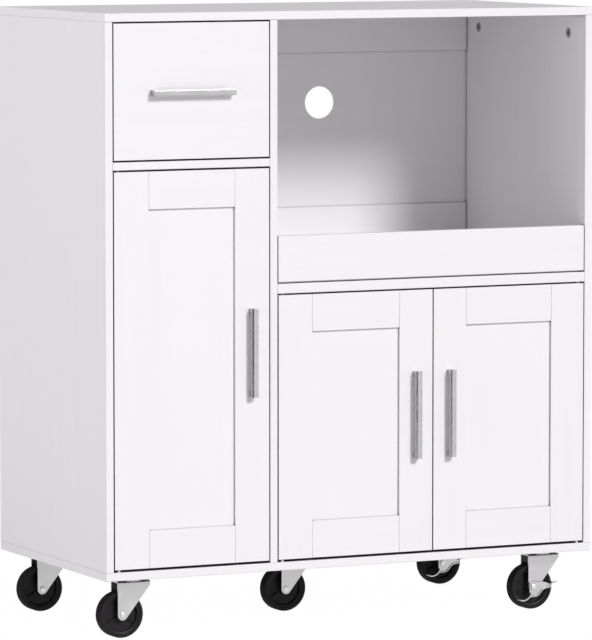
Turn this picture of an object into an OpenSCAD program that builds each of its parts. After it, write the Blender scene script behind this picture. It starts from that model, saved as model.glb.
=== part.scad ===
// Microwave cart: a kitchen cart on five swivel casters, with a drawer over a tall cupboard on
// the left, and an open microwave bay over a two-door cupboard on the right.
// Millimetres, +Z up, -Y is the front. The origin is on the floor, under the middle of the cart.

/* [Carcass] */
// Width over the side panels
body_w = 800; // [760:5:900]
// Depth of the carcass
body_d = 400; // [370:5:450]
// Height of the carcass without its casters
body_h = 823; // [800:1:900]
// Thickness of the sides, divider, drawer support and rails
board_t = 12; // [12:0.5:16]
// Thickness of the top and bottom panels
cap_t = 12.5; // [12:0.5:18]
// Thickness of the shelf that the microwave stands on
shelf_t = 15; // [14:0.5:20]
// Clear width of the left column
left_bay_w = 251; // [235:1:280]
// Clear height of the drawer bay
drawer_bay_h = 202; // [180:1:240]
// Clear height of the right cupboard
cupboard_h = 396.5; // [360:0.5:420]
// Height of the lip in front of the microwave
lip_h = 68; // [50:1:90]
// Chamfer along the front edges of boards
arris = 0.6; // [0.3:0.1:1]

/* [Back] */
// Thickness of the thin back panels
back_t = 3; // [3:0.5:5]
// Depth of the grooves that hold them
back_groove = 5; // [3:0.5:6]
// Distance of the back rails from the rear edge
back_inset = 5; // [2:0.5:10]
// Step from a back rail's face to the back panel's face
back_step = 3; // [1:0.25:4]
// Height of the upper back rail
upper_rail_h = 65; // [50:1:90]
// Height of the lower back rail
lower_rail_h = 82.5; // [60:0.5:110]
// Diameter of the cable hole
cable_hole_d = 50; // [35:1:60]
// Cable hole centre, below the upper back rail
cable_hole_drop = 77.5; // [50:0.5:110]

/* [Fronts] */
// Gap at each side of a front
side_gap = 1.4; // [1.2:0.1:2.5]
// Gap above and below a front
front_gap = 2; // [1.5:0.1:3]
// Gap under the doors
sill_gap = 3.5; // [2.5:0.1:5]
// Thickness of the doors and of the drawer front
door_t = 15; // [14:0.5:18]
// Width of a door's stiles and rails
frame_w = 55; // [45:0.5:65]
// Depth of the recess in front of a door's panel
recess = 4; // [2:0.5:6]
// Thickness of a door's panel
panel_t = 5; // [4:0.5:6]
// Depth of the groove that holds a door's panel
panel_groove = 6; // [4:0.5:10]
// Pivot axis, from the door's hinge edge
pivot_a = 8; // [8:0.5:11]
// Pivot axis, behind the door's front face
pivot_b = 4.6; // [4.2:0.1:4.8]
// Radius of a pivot pin
pivot_r = 1.5; // [1.25:0.25:2]
// Depth of a pivot pin in its bush
pivot_depth = 6.8; // [5:0.2:7.2]

/* [Handles] */
// Length of a bar handle
handle_l = 130.5; // [110:0.5:150]
// Width of its bar
handle_w = 10; // [8:0.5:14]
// Distance that it stands out from the front
handle_reach = 13.5; // [12:0.5:25]
// Thickness of its bar
handle_bar_t = 7; // [5:0.5:8]
// Length of each of its feet
handle_foot = 9; // [8:0.5:14]
// Bevel along its front edges
handle_bevel = 1.5; // [0.5:0.25:2]
// Centre of a door's handle, from the door's free edge
handle_edge = 27.8; // [20:0.2:34]
// Centre of the left door's handle, above the bottom panel
left_handle_z = 312; // [200:0.5:380]
// Centre of the right doors' handles, above the bottom panel
right_handle_z = 208.5; // [150:0.5:260]
// Centre of the drawer's handle, below the middle of its front
drawer_handle_drop = 2; // [0:0.5:10]

/* [Drawer] */
// Height of the drawer's box
box_h = 140; // [110:1:150]
// Thickness of the box's sides and back
box_t = 12; // [10:0.5:15]
// Gap behind the drawer's box
box_gap = 19.5; // [15:0.5:40]
// Thickness of the drawer's bottom
box_bottom_t = 3; // [3:0.5:5]
// Height of the box above the lower edge of the front
box_lift = 14; // [10:1:30]
// Travel of the drawer
drawer_travel = 270; // [200:5:275]
// Width of a ball runner
runner_w = 12.5; // [12.5:0.1:13]
// Half the distance between a runner's rows of balls
runner_half = 12; // [10:0.5:16]
// Thickness of the runners' steel
runner_t = 1.2; // [1:0.1:1.4]
// Radius of a runner's balls
ball_r = 1.5; // [1.2:0.05:1.6]

/* [Casters] */
// Height of a caster, from the floor to the bottom panel
caster_h = 90; // [88:1:110]
// Radius of a wheel
wheel_r = 34; // [30:0.5:36]
// Width of a wheel's tread
wheel_w = 19; // [16:0.5:20]
// Distance that a wheel trails behind its swivel axis
trail = 18; // [14:0.5:20]
// Width of a fork over its legs
fork_w = 26; // [25:0.5:30]
// Length of a fork's top
fork_l = 51.6; // [48:0.2:60]
// Thickness of a fork's steel
fork_t = 2; // [1.6:0.1:2.4]
// Radius of a fork leg's round end
fork_end_r = 7.8; // [7:0.1:9]
// Radius of an axle
axle_r = 3; // [2.5:0.25:4]
// Swivel axes of the corner casters, from the cart's sides
caster_side = 60; // [55:1:90]
// Swivel axes of the corner casters, from the cart's front and back
caster_edge = 50; // [48:1:90]
// Swivel axis of the centre caster, to the left of the cart's middle
centre_left = 7; // [0:1:20]
// Swivel axis of the centre caster, to the front of the cart's middle
centre_fore = 8; // [0:1:20]
// Side of a caster's top plate
plate_w = 56; // [52:1:70]
// Thickness of a caster's top plate
plate_t = 2; // [1.6:0.2:3]
// Reach of a brake's pedal from its axle
pedal_reach = 38; // [36:1:46]
// Depth of a brake's pedal and heel
pedal_d = 11; // [8:0.5:14]
// Thickness of a brake's steel
brake_t = 1.8; // [1.4:0.1:2.2]

/* [Fittings] */
// Distance of the front fittings from the front edge
fitting_front = 54; // [46:1:70]
// Distance of the rear fittings from the rear edge
fitting_rear = 55; // [46:1:70]
// Distance from a cam to its dowel
dowel_step = 32; // [24:1:40]
// Radius of a cam disc
cam_r = 7.5; // [6:0.25:8]
// Distance of a cam's centre from the end of its board
cam_back = 28; // [24:1:34]
// Radius of a cam's bolt
cam_bolt_r = 3; // [2.5:0.25:3.25]
// Length of the bolt's thread
cam_thread = 8; // [6:0.5:9]
// Radius of a dowel
dowel_r = 3; // [2.5:0.25:3.5]
// Length of a dowel in its own board
dowel_in = 16; // [12:1:20]
// Length of a dowel in the other board, where no groove lies behind it
dowel_out = 8; // [6:0.5:9]
// Radius of a shelf pin
shelf_pin_r = 2.5; // [2:0.25:3]
// Distance between the shelf pin holes
shelf_pin_step = 32; // [25:1:50]
// Left cupboard's shelf pins, above the bottom panel
left_pins_z = 288; // [150:1:400]
// Right cupboard's shelf pins, above the bottom panel
right_pins_z = 198; // [120:1:260]

/* [Hidden] */
$fn = 48;
// Clearance of a piece in its groove, bore or seat
fit_gap = 0.1;
// Radial clearance of a pin that turns in its bore
running_gap = 0.05;
// Gap between moving pieces that pass each other
moving_gap = 0.3;
// Overrun of a cut past the face that it opens
cut = 1;

// Places across the cart, from the outer face of the left side panel
left_x0 = board_t;
left_x1 = left_x0 + left_bay_w;
bay_x0 = left_x1 + board_t;
bay_x1 = body_w - board_t;
bay_mid = (bay_x0 + bay_x1) / 2;

// Places up the cart, from the underside of the bottom panel
floor_z = cap_t;
ceiling_z = body_h - cap_t;
support_top = ceiling_z - drawer_bay_h;
support_z = support_top - board_t;
shelf_z = floor_z + cupboard_h;
shelf_top = shelf_z + shelf_t;

// Places towards the back, from the front edge of the carcass
rail_y0 = body_d - back_inset - board_t;
back_y0 = rail_y0 + back_step;
back_y1 = back_y0 + back_t;
inner_y1 = back_y0 - fit_gap;

// Fittings that join the boards: cams, and a dowel beside each
cam_ys = [fitting_front, body_d - fitting_rear];
dowel_ys = [fitting_front + dowel_step, body_d - fitting_rear - dowel_step];

// Fronts
door_z0 = floor_z + sill_gap;
left_door_z1 = support_z - front_gap;
right_door_z1 = shelf_z - front_gap;
left_door_w = left_bay_w - 2 * side_gap;
right_door_w = (bay_x1 - bay_x0 - 3 * side_gap) / 2;
drawer_z0 = support_top + front_gap;
drawer_z1 = ceiling_z - front_gap;

// Each door: its left edge, width, upper edge, handle height and hinge side (-1 left, 1 right)
LEFT_DOOR = [left_x0 + side_gap, left_door_w, left_door_z1, floor_z + left_handle_z, -1];
CENTRE_DOOR = [bay_x0 + side_gap, right_door_w, right_door_z1, floor_z + right_handle_z, -1];
RIGHT_DOOR = [bay_mid + side_gap / 2, right_door_w, right_door_z1, floor_z + right_handle_z, 1];
DOORS = [LEFT_DOOR, CENTRE_DOOR, RIGHT_DOOR];

// Drawer box and its runners
box_l = back_y0 - door_t - box_gap;
runner_l = box_l - 2;
box_x0 = left_x0 + runner_w;
box_x1 = left_x1 - runner_w;
box_z0 = drawer_z0 + box_lift;
box_bottom_z = box_z0 + 10;
runner_y0 = door_t + fit_gap;
runner_z = box_z0 + box_h / 2;
race_r = ball_r + 0.35;
ball_x = runner_w / 2;
cage_l = runner_l - drawer_travel - 2;
cage_y0 = runner_y0 + drawer_travel / 2 + 1;

// Casters: swivel axes, and whether each has a brake
FRONT_LEFT = [caster_side, caster_edge];
REAR_LEFT = [caster_side, body_d - caster_edge];
CENTRE = [body_w / 2 - centre_left, body_d / 2 - centre_fore];
REAR_RIGHT = [body_w - caster_side, body_d - caster_edge];
FRONT_RIGHT = [body_w - caster_side, caster_edge];
CASTERS = [FRONT_LEFT, REAR_LEFT, CENTRE, REAR_RIGHT, FRONT_RIGHT];

fork_top = -7;
axle_z = wheel_r - caster_h;
kingpin_r = 4;
rivet_h = 1.6;

board_white = [0.95, 0.95, 0.96];
steel = [0.76, 0.76, 0.78];
zinc = [0.82, 0.82, 0.84];
nylon = [0.93, 0.93, 0.90];
beech = [0.80, 0.65, 0.44];
black = [0.10, 0.10, 0.11];

// Moves what is drawn in the carcass's own places to its place above the floor
module in_cabinet() {
    translate([-body_w / 2, -(body_d - handle_reach) / 2, caster_h]) children();
}

// Points on an arc about c, from angle a0 to a1
function arc(c, r, a0, a1, n = 10) =
    [for (i = [0 : n]) let (a = a0 + (a1 - a0) * i / n) c + r * [cos(a), sin(a)]];

function reversed(points) = [for (i = [len(points) - 1 : -1 : 0]) points[i]];

// ---- Boards -----------------------------------------------------------------------------

// Outline of a board's end: width along x, depth along y, both front corners chamfered
module board_outline(w, d) {
    polygon([[0, arris], [arris, 0], [w - arris, 0], [w, arris], [w, d], [0, d]]);
}

// Upright board from x, z0 to z1
module upright(x, z0, z1, d = body_d) {
    translate([x, 0, z0]) linear_extrude(z1 - z0) board_outline(board_t, d);
}

// Level board of thickness t, from [x0, y0, z] to x1 and depth d
module level_board(x0, x1, z, t, d, y0 = 0) {
    translate([x0, y0, z + t]) rotate([0, 90, 0]) linear_extrude(x1 - x0) board_outline(t, d);
}

// A thin panel's groove, where panel is its box: low and high corners in x and z
module back_groove_cut(x0, x1, z0, z1) {
    translate([x0, back_y0 - fit_gap, z0]) cube([x1 - x0, back_t + 2 * fit_gap, z1 - z0]);
}

// Places children at both ends of an upright, local +z out of its end, +x to its cam's mouth
module at_upright_ends(x_mid, ys, mouth) {
    for (y = ys) {
        translate([x_mid, y, ceiling_z]) rotate([0, 0, mouth < 0 ? 180 : 0]) children();
        translate([x_mid, y, floor_z]) rotate([180, 0, mouth < 0 ? 180 : 0]) children();
    }
}

// Places children at both ends of a level board, local +z out of its end, +x downwards
module at_level_ends(x0, x1, ys, z_mid) {
    for (y = ys) {
        translate([x1, y, z_mid]) rotate([0, 90, 0]) children();
        translate([x0, y, z_mid]) rotate([0, 90, 180]) children();
    }
}

// A cam disc and its bolt in a board of thickness t, whose end is at z = 0
module cam_lock(t) {
    depth = t / 2 + cam_bolt_r + 0.5;
    slot = 1.6;
    difference() {
        translate([t / 2 - depth, 0, -cam_back]) rotate([0, 90, 0]) cylinder(r = cam_r, h = depth);
        translate([0, 0, -cam_back]) cylinder(r = cam_bolt_r + fit_gap, h = cam_r + cut);
        translate([t / 2 - slot, -slot / 2, -cam_back - cam_r * 0.6])
            cube([slot + cut, slot, cam_r * 1.2]);
        translate([t / 2 - slot, -cam_r * 0.6, -cam_back - slot / 2])
            cube([slot + cut, cam_r * 1.2, slot]);
    }
    translate([0, 0, -cam_back + slot]) cylinder(r = cam_bolt_r, h = cam_back - slot);
    cylinder(r = cam_bolt_r - 0.5, h = cam_thread);
}

// The bores that a cam and its bolt need in both boards
module cam_bores(t) {
    depth = t / 2 + cam_bolt_r + 0.5;
    translate([t / 2 - depth, 0, -cam_back])
        rotate([0, 90, 0]) cylinder(r = cam_r + fit_gap, h = depth + cut);
    translate([0, 0, -cam_back]) cylinder(r = cam_bolt_r + fit_gap, h = cam_back);
    cylinder(r = cam_bolt_r - 0.5 + running_gap, h = cam_thread + fit_gap);
}

// A dowel that reaches so far into the other board, and the bore for it
module dowel(out = dowel_out) {
    translate([0, 0, -dowel_in]) cylinder(r = dowel_r, h = dowel_in + out);
}

module dowel_bore(out = dowel_out) {
    translate([0, 0, -dowel_in - fit_gap])
        cylinder(r = dowel_r + running_gap, h = dowel_in + out + 2 * fit_gap);
}

// Upright boards: centre plane and the side that its cams open to
UPRIGHTS = [[board_t / 2, 1], [left_x1 + board_t / 2, -1], [body_w - board_t / 2, -1]];

module upright_bores(u) {
    at_upright_ends(u[0], cam_ys, u[1]) cam_bores(board_t);
    at_upright_ends(u[0], dowel_ys, u[1]) dowel_bore();
}

module support_bores() {
    at_level_ends(left_x0, left_x1, cam_ys, support_z + board_t / 2) cam_bores(board_t);
    at_level_ends(left_x0, left_x1, dowel_ys, support_z + board_t / 2) dowel_bore();
}

module shelf_bores() {
    at_level_ends(bay_x0, bay_x1, cam_ys, shelf_z + shelf_t / 2) cam_bores(shelf_t);
    at_level_ends(bay_x0, bay_x1, dowel_ys, shelf_z + shelf_t / 2) dowel_bore();
}

// Dowels of the lip and of the back rails, as [y, z] on both faces of the microwave bay. They
// stop short of the groove in the divider's other face.
bay_dowel_out = min(dowel_out, board_t - back_groove - 0.5);
lip_z0 = shelf_top + front_gap;
lower_rail_z1 = shelf_top + lower_rail_h;
upper_rail_z0 = ceiling_z - upper_rail_h;
rail_y = rail_y0 + board_t / 2;
BAY_DOWELS = [
    [board_t / 2, lip_z0 + lip_h / 4],
    [board_t / 2, lip_z0 + lip_h * 3 / 4],
    [rail_y, shelf_top + lower_rail_h / 4],
    [rail_y, shelf_top + lower_rail_h * 3 / 4],
    [rail_y, upper_rail_z0 + upper_rail_h / 4],
    [rail_y, upper_rail_z0 + upper_rail_h * 3 / 4]
];

module at_bay_dowels() {
    for (p = BAY_DOWELS) at_level_ends(bay_x0, bay_x1, [p[0]], p[1]) children();
}

// Shelf pins, as [y, z], and the rows of holes above and below them
pin_depth = 8;
pin_ys = [fitting_front, body_d - fitting_rear];

module pin_row(x, way, z) {
    for (y = pin_ys, step = [-1, 0, 1])
        translate([x, y, z + step * shelf_pin_step]) rotate([0, 90 * way, 0])
            translate([0, 0, -pin_depth]) cylinder(r = shelf_pin_r + running_gap, h = pin_depth + cut);
}

// Pivot bush seats of a door, in the boards above and below it
bush_r = pivot_r + 1.7;
bush_h = pivot_depth + 1.2;

function pivot_x(door) = door[4] < 0 ? door[0] + pivot_a : door[0] + door[1] - pivot_a;

module at_pivot_ends(door) {
    translate([pivot_x(door), pivot_b, floor_z]) children();
    translate([pivot_x(door), pivot_b, door[2] + front_gap]) rotate([180, 0, 0]) children();
}

module bush_seats(door) {
    at_pivot_ends(door) translate([0, 0, -bush_h]) cylinder(r = bush_r + fit_gap, h = bush_h + cut);
}

module top_panel() {
    color(board_white) difference() {
        level_board(0, body_w, ceiling_z, cap_t, body_d);
        for (u = UPRIGHTS) upright_bores(u);
        back_groove_cut(left_x0 - back_groove, left_x1 + back_groove,
            ceiling_z - cut, ceiling_z + back_groove);
    }
}

module bottom_panel() {
    color(board_white) difference() {
        level_board(0, body_w, 0, cap_t, body_d);
        for (u = UPRIGHTS) upright_bores(u);
        back_groove_cut(left_x0 - back_groove, bay_x1 + back_groove,
            floor_z - back_groove, floor_z + cut);
        for (door = DOORS) bush_seats(door);
        for (c = CASTERS) translate([c[0], c[1], 0]) plate_screw_holes();
    }
}

module left_side_panel() {
    color(board_white) difference() {
        upright(0, floor_z, ceiling_z);
        upright_bores(UPRIGHTS[0]);
        support_bores();
        back_groove_cut(left_x0 - back_groove, left_x0 + cut, floor_z - cut, ceiling_z + cut);
        pin_row(left_x0, 1, floor_z + left_pins_z);
    }
}

module divider_panel() {
    color(board_white) difference() {
        upright(left_x1, floor_z, ceiling_z);
        upright_bores(UPRIGHTS[1]);
        support_bores();
        shelf_bores();
        at_bay_dowels() dowel_bore(bay_dowel_out);
        back_groove_cut(left_x1 - cut, left_x1 + back_groove, floor_z - cut, ceiling_z + cut);
        back_groove_cut(bay_x0 - back_groove, bay_x0 + cut, floor_z - cut,
            upper_rail_z0 + back_groove + fit_gap);
        pin_row(left_x1, -1, floor_z + left_pins_z);
        pin_row(bay_x0, 1, floor_z + right_pins_z);
    }
}

module right_side_panel() {
    color(board_white) difference() {
        upright(bay_x1, floor_z, ceiling_z);
        upright_bores(UPRIGHTS[2]);
        shelf_bores();
        at_bay_dowels() dowel_bore(bay_dowel_out);
        back_groove_cut(bay_x1 - cut, bay_x1 + back_groove, floor_z - cut,
            upper_rail_z0 + back_groove + fit_gap);
        pin_row(bay_x1, -1, floor_z + right_pins_z);
    }
}

module drawer_support() {
    color(board_white) difference() {
        level_board(left_x0, left_x1, support_z, board_t, inner_y1);
        support_bores();
        bush_seats(LEFT_DOOR);
    }
}

module microwave_shelf() {
    color(board_white) difference() {
        level_board(bay_x0, bay_x1, shelf_z, shelf_t, rail_y0);
        shelf_bores();
        bush_seats(CENTRE_DOOR);
        bush_seats(RIGHT_DOOR);
    }
}

module shelf_lip() {
    color(board_white) difference() {
        level_board(bay_x0 + side_gap, bay_x1 - side_gap, lip_z0, lip_h, board_t);
        at_bay_dowels() dowel_bore(bay_dowel_out);
    }
}

module back_rails() {
    color(board_white) difference() {
        union() {
            level_board(bay_x0, bay_x1, shelf_top, lower_rail_h, board_t, rail_y0);
            level_board(bay_x0, bay_x1, upper_rail_z0, upper_rail_h, board_t, rail_y0);
        }
        at_bay_dowels() dowel_bore(bay_dowel_out);
        back_groove_cut(bay_x0 - cut, bay_x1 + cut, shelf_top - cut, shelf_top + back_groove);
        back_groove_cut(bay_x0 - cut, bay_x1 + cut, lower_rail_z1 - back_groove,
            upper_rail_z0 + back_groove);
    }
}

// A thin panel that reaches into the grooves around the hollow from [x0, z0] to [x1, z1]
module thin_panel(x0, z0, x1, z1) {
    reach = back_groove - fit_gap;
    translate([x0 - reach, back_y0, z0 - reach])
        cube([x1 - x0 + 2 * reach, back_t, z1 - z0 + 2 * reach]);
}

module bay_back_panel() {
    color(board_white) difference() {
        thin_panel(bay_x0, lower_rail_z1, bay_x1, upper_rail_z0);
        translate([bay_mid, back_y0 - cut, upper_rail_z0 - cable_hole_drop])
            rotate([-90, 0, 0]) cylinder(d = cable_hole_d, h = back_t + 2 * cut);
    }
}

module left_back_panel() {
    color(board_white) thin_panel(left_x0, floor_z, left_x1, ceiling_z);
}

module cupboard_back_panel() {
    color(board_white) thin_panel(bay_x0, floor_z, bay_x1, shelf_top);
}

// Loose shelves, on pins in the cupboards
shelf_slack = 0.8;
shelf_front = 32;

module loose_shelf(x0, x1, pins_z) {
    level_board(x0 + shelf_slack, x1 - shelf_slack, floor_z + pins_z + shelf_pin_r, board_t,
        inner_y1 - shelf_slack - shelf_front, shelf_front);
}

module left_cupboard_shelf() {
    color(board_white) loose_shelf(left_x0, left_x1, left_pins_z);
}

module right_cupboard_shelf() {
    color(board_white) loose_shelf(bay_x0, bay_x1, right_pins_z);
}

// ---- Fittings ---------------------------------------------------------------------------

module shelf_pin(x, way, z) {
    for (y = pin_ys)
        translate([x, y, z]) rotate([0, 90 * way, 0]) {
            translate([0, 0, fit_gap - pin_depth])
                cylinder(r = shelf_pin_r, h = 2 * pin_depth);
        }
}

module shelf_pins() {
    color(steel) {
        shelf_pin(left_x0, 1, floor_z + left_pins_z);
        shelf_pin(left_x1, -1, floor_z + left_pins_z);
        shelf_pin(bay_x0, 1, floor_z + right_pins_z);
        shelf_pin(bay_x1, -1, floor_z + right_pins_z);
    }
}

module cam_locks() {
    color(steel) {
        for (u = UPRIGHTS) at_upright_ends(u[0], cam_ys, u[1]) cam_lock(board_t);
        at_level_ends(left_x0, left_x1, cam_ys, support_z + board_t / 2) cam_lock(board_t);
        at_level_ends(bay_x0, bay_x1, cam_ys, shelf_z + shelf_t / 2) cam_lock(shelf_t);
    }
}

module dowels() {
    color(beech) {
        for (u = UPRIGHTS) at_upright_ends(u[0], dowel_ys, u[1]) dowel();
        at_level_ends(left_x0, left_x1, dowel_ys, support_z + board_t / 2) dowel();
        at_level_ends(bay_x0, bay_x1, dowel_ys, shelf_z + shelf_t / 2) dowel();
        at_bay_dowels() dowel(bay_dowel_out);
    }
}

// A bush for a door's pivot pin, whose collar fills the door's gap
module pivot_bush(gap) {
    collar_r = pivot_r + 0.8;
    difference() {
        union() {
            translate([0, 0, -bush_h]) cylinder(r = bush_r, h = bush_h);
            cylinder(r = collar_r, h = gap - moving_gap);
        }
        translate([0, 0, -pivot_depth - 0.2])
            cylinder(r = pivot_r + running_gap, h = pivot_depth + gap + cut);
    }
}

module pivot_bushes() {
    color(nylon) for (door = DOORS) {
        translate([pivot_x(door), pivot_b, floor_z]) pivot_bush(sill_gap);
        translate([pivot_x(door), pivot_b, door[2] + front_gap]) rotate([180, 0, 0])
            pivot_bush(front_gap);
    }
}

// Magnetic catches behind the free upper corners of the doors, under the board above
catch_w = 36;
catch_h = 13;
catch_d = 15;
strike_t = 1.2;
strike_w = 30;
catch_y0 = door_t + strike_t + moving_gap;

function catch_x(door) =
    door[4] < 0 ? door[0] + door[1] - frame_w / 2 : door[0] + frame_w / 2;

module door_catch() {
    magnet_w = 10;
    lug_w = 8;
    difference() {
        union() {
            translate([-catch_w / 2 + lug_w, 1, -catch_h]) cube([catch_w - 2 * lug_w, catch_d - 1, catch_h]);
            translate([-catch_w / 2, 1, -3]) cube([catch_w, catch_d - 1, 3]);
            translate([-magnet_w / 2, 0, -catch_h + 2]) cube([magnet_w, 2, catch_h - 4]);
        }
        for (side = [-1, 1]) translate([side * (catch_w - lug_w) / 2, catch_d / 2, -4])
            cylinder(r = 1.6, h = 5);
    }
}

module door_catches() {
    color(board_white) for (door = DOORS)
        translate([catch_x(door), catch_y0, door[2] + front_gap]) door_catch();
}

// ---- Ball runners ------------------------------------------------------------------------

// Places children as the left runner's section or cage and, mirrored, as the right one's
module at_runners(y0) {
    translate([left_x0, y0, runner_z]) children();
    translate([left_x1, y0, runner_z]) mirror([1, 0, 0]) children();
}

// Extrudes a section drawn in x and z along the runner
module along_runner(l) {
    translate([0, l, 0]) rotate([90, 0, 0]) linear_extrude(l) children();
}

// Half of a ball's track round its centre: way 1 is the half away from the runner's middle
module ball_track(way) {
    slot = 0.75;
    outer_r = race_r + runner_t;
    difference() {
        circle(r = outer_r);
        circle(r = race_r);
        translate([-outer_r - cut, way > 0 ? slot - 2 * outer_r : -slot])
            square([2 * (outer_r + cut), 2 * outer_r]);
    }
}

module cabinet_section() {
    half = runner_half + race_r + runner_t;
    translate([0, -half]) square([runner_t, 2 * half]);
    for (side = [0, 1]) mirror([0, side, 0]) {
        translate([ball_x, runner_half]) ball_track(1);
        translate([0, half - runner_t]) square([ball_x, runner_t]);
    }
}

module drawer_section() {
    half = runner_half - race_r;
    translate([runner_w - runner_t, -half]) square([runner_t, 2 * half]);
    for (side = [0, 1]) mirror([0, side, 0]) {
        translate([ball_x, runner_half]) ball_track(-1);
        translate([ball_x, half - runner_t]) square([runner_w - ball_x, runner_t]);
    }
}

module cabinet_runners() {
    color(steel) at_runners(runner_y0) along_runner(runner_l) cabinet_section();
}

module drawer_runners() {
    color(steel) at_runners(runner_y0) along_runner(runner_l) drawer_section();
}

// The strip that spaces a runner's balls, and its two rows of balls
module ball_cage() {
    strip_t = 0.8;
    web_x = runner_t + 0.6;
    count = 5;
    pitch = cage_l / count;
    difference() {
        union() {
            translate([web_x, 0, -runner_half]) cube([strip_t, cage_l, 2 * runner_half]);
            for (side = [-1, 1])
                translate([web_x, 0, side * runner_half - strip_t / 2])
                    cube([ball_x + race_r - web_x, cage_l, strip_t]);
        }
        for (side = [-1, 1], i = [0 : count - 1])
            translate([ball_x, (i + 0.5) * pitch, side * runner_half - cut])
                cylinder(r = ball_r + fit_gap, h = 2 * cut);
    }
    for (side = [-1, 1], i = [0 : count - 1])
        translate([ball_x, (i + 0.5) * pitch, side * runner_half]) sphere(r = ball_r);
}

module runner_ball_cages() {
    color(zinc) at_runners(cage_y0) ball_cage();
}

// ---- Handles -----------------------------------------------------------------------------

handle_screw_r = 2;
handle_screw_at = (handle_l - handle_foot) / 2;

// A bar on two feet, along x, on the face y = 0, with its two screws through a board of door_t
module bar_handle() {
    half = handle_l / 2;
    w = handle_w / 2;
    difference() {
        translate([-half, 0, 0]) rotate([90, 0, 90]) linear_extrude(handle_l)
            polygon([[0, -w], [0, w], [-handle_reach + handle_bevel, w],
                [-handle_reach, w - handle_bevel], [-handle_reach, handle_bevel - w],
                [-handle_reach + handle_bevel, -w]]);
        translate([-half + handle_foot, handle_bar_t - handle_reach, -w - cut])
            cube([handle_l - 2 * handle_foot, handle_reach, handle_w + 2 * cut]);
        for (side = [-1, 1]) translate([side * handle_screw_at, -handle_reach / 2, 0])
            rotate([-90, 0, 0]) cylinder(r = handle_screw_r + running_gap, h = handle_reach);
    }
    for (side = [-1, 1]) translate([side * handle_screw_at, -handle_reach / 2 + fit_gap, 0])
        rotate([-90, 0, 0]) {
            cylinder(r = handle_screw_r, h = handle_reach / 2 + door_t);
            translate([0, 0, handle_reach / 2 + door_t - fit_gap]) cylinder(r = 4, h = 2);
        }
}

module handle_bores() {
    for (side = [-1, 1]) translate([side * handle_screw_at, -cut, 0])
        rotate([-90, 0, 0]) cylinder(r = handle_screw_r + fit_gap, h = door_t + 2 * cut);
}

// Places children as the drawer's handle
module at_drawer_handle() {
    translate([(left_x0 + left_x1) / 2, 0, (drawer_z0 + drawer_z1) / 2 - drawer_handle_drop]) children();
}

// Places children as a door's handle, upright near its free edge
module at_door_handle(door) {
    x = door[4] < 0 ? door[0] + door[1] - handle_edge : door[0] + handle_edge;
    translate([x, 0, door[3]]) rotate([0, 90, 0]) children();
}

// ---- Drawer ------------------------------------------------------------------------------

drawer_groove = 5;

module box_bottom_groove() {
    translate([box_x0 + box_t - drawer_groove, door_t - drawer_groove, box_bottom_z - fit_gap])
        cube([box_x1 - box_x0 - 2 * (box_t - drawer_groove), box_l - box_t + 2 * drawer_groove,
            box_bottom_t + 2 * fit_gap]);
}

module drawer_front() {
    color(board_white) difference() {
        level_board(left_x0 + side_gap, left_x1 - side_gap, drawer_z0, drawer_z1 - drawer_z0, door_t);
        at_drawer_handle() handle_bores();
        box_bottom_groove();
    }
}

module drawer_box_boards() {
    color(board_white) difference() {
        union() {
            for (x = [box_x0, box_x1 - box_t])
                translate([x, door_t, box_z0]) cube([box_t, box_l, box_h]);
            translate([box_x0 + box_t + fit_gap / 2, door_t + box_l - box_t, box_z0])
                cube([box_x1 - box_x0 - 2 * box_t - fit_gap, box_t, box_h]);
        }
        box_bottom_groove();
    }
}

module drawer_bottom() {
    reach = drawer_groove - fit_gap;
    color(board_white) translate([box_x0 + box_t - reach, door_t - reach, box_bottom_z])
        cube([box_x1 - box_x0 - 2 * (box_t - reach), box_l - box_t + 2 * reach, box_bottom_t]);
}

module drawer_handle() {
    color(steel) at_drawer_handle() bar_handle();
}

// ---- Doors -------------------------------------------------------------------------------

// Section of a stile or rail: outer edge at x = 0, front face at y = 0, panel groove inside
module frame_section() {
    g0 = recess - fit_gap;
    g1 = recess + panel_t + fit_gap;
    bottom = frame_w - panel_groove;
    polygon([[0, arris], [arris, 0], [frame_w - arris, 0], [frame_w, arris], [frame_w, g0],
        [bottom, g0], [bottom, g1], [frame_w, g1], [frame_w, door_t], [0, door_t]]);
}

// Two stiles over the whole height, and two rails whose tongues enter the stiles' grooves
module door_frame(door) {
    w = door[1];
    h = door[2] - door_z0;
    rail_l = w - 2 * (frame_w + fit_gap);
    tongue = panel_groove - fit_gap;
    difference() {
        translate([door[0], 0, door_z0]) for (side = [0, 1])
            translate([side * w, 0, 0]) mirror([side, 0, 0])
                linear_extrude(h) frame_section();
        at_door_pins(door) translate([0, 0, -cut])
            cylinder(r = pivot_r + running_gap, h = pin_in + fit_gap + cut);
        at_door_handle(door) handle_bores();
    }
    translate([door[0] + frame_w + fit_gap, 0, door_z0]) for (side = [0, 1])
        translate([0, 0, side * h]) mirror([0, 0, side]) {
            rotate([90, 0, 90]) linear_extrude(rail_l) rail_section();
            translate([-tongue, recess, 0])
                cube([rail_l + 2 * tongue, panel_t, frame_w - panel_groove - fit_gap]);
        }
}

// The stile's section turned to run along a rail: front face at x = 0, outer edge at y = 0
module rail_section() {
    mirror([1, -1, 0]) frame_section();
}

module door_panel(door) {
    reach = panel_groove - 3 * fit_gap;
    translate([door[0] + frame_w - reach, recess, door_z0 + frame_w - reach])
        cube([door[1] - 2 * (frame_w - reach), panel_t, door[2] - door_z0 - 2 * (frame_w - reach)]);
}

// Pivot pins, pressed into the stile's ends: local +z runs into the door
pin_in = 14;

module at_door_pins(door) {
    translate([pivot_x(door), pivot_b, door_z0]) children();
    translate([pivot_x(door), pivot_b, door[2]]) rotate([180, 0, 0]) children();
}

module pivot_pin(gap) {
    translate([0, 0, -gap - pivot_depth])
        cylinder(r = pivot_r, h = gap + pivot_depth + pin_in);
}

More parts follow.
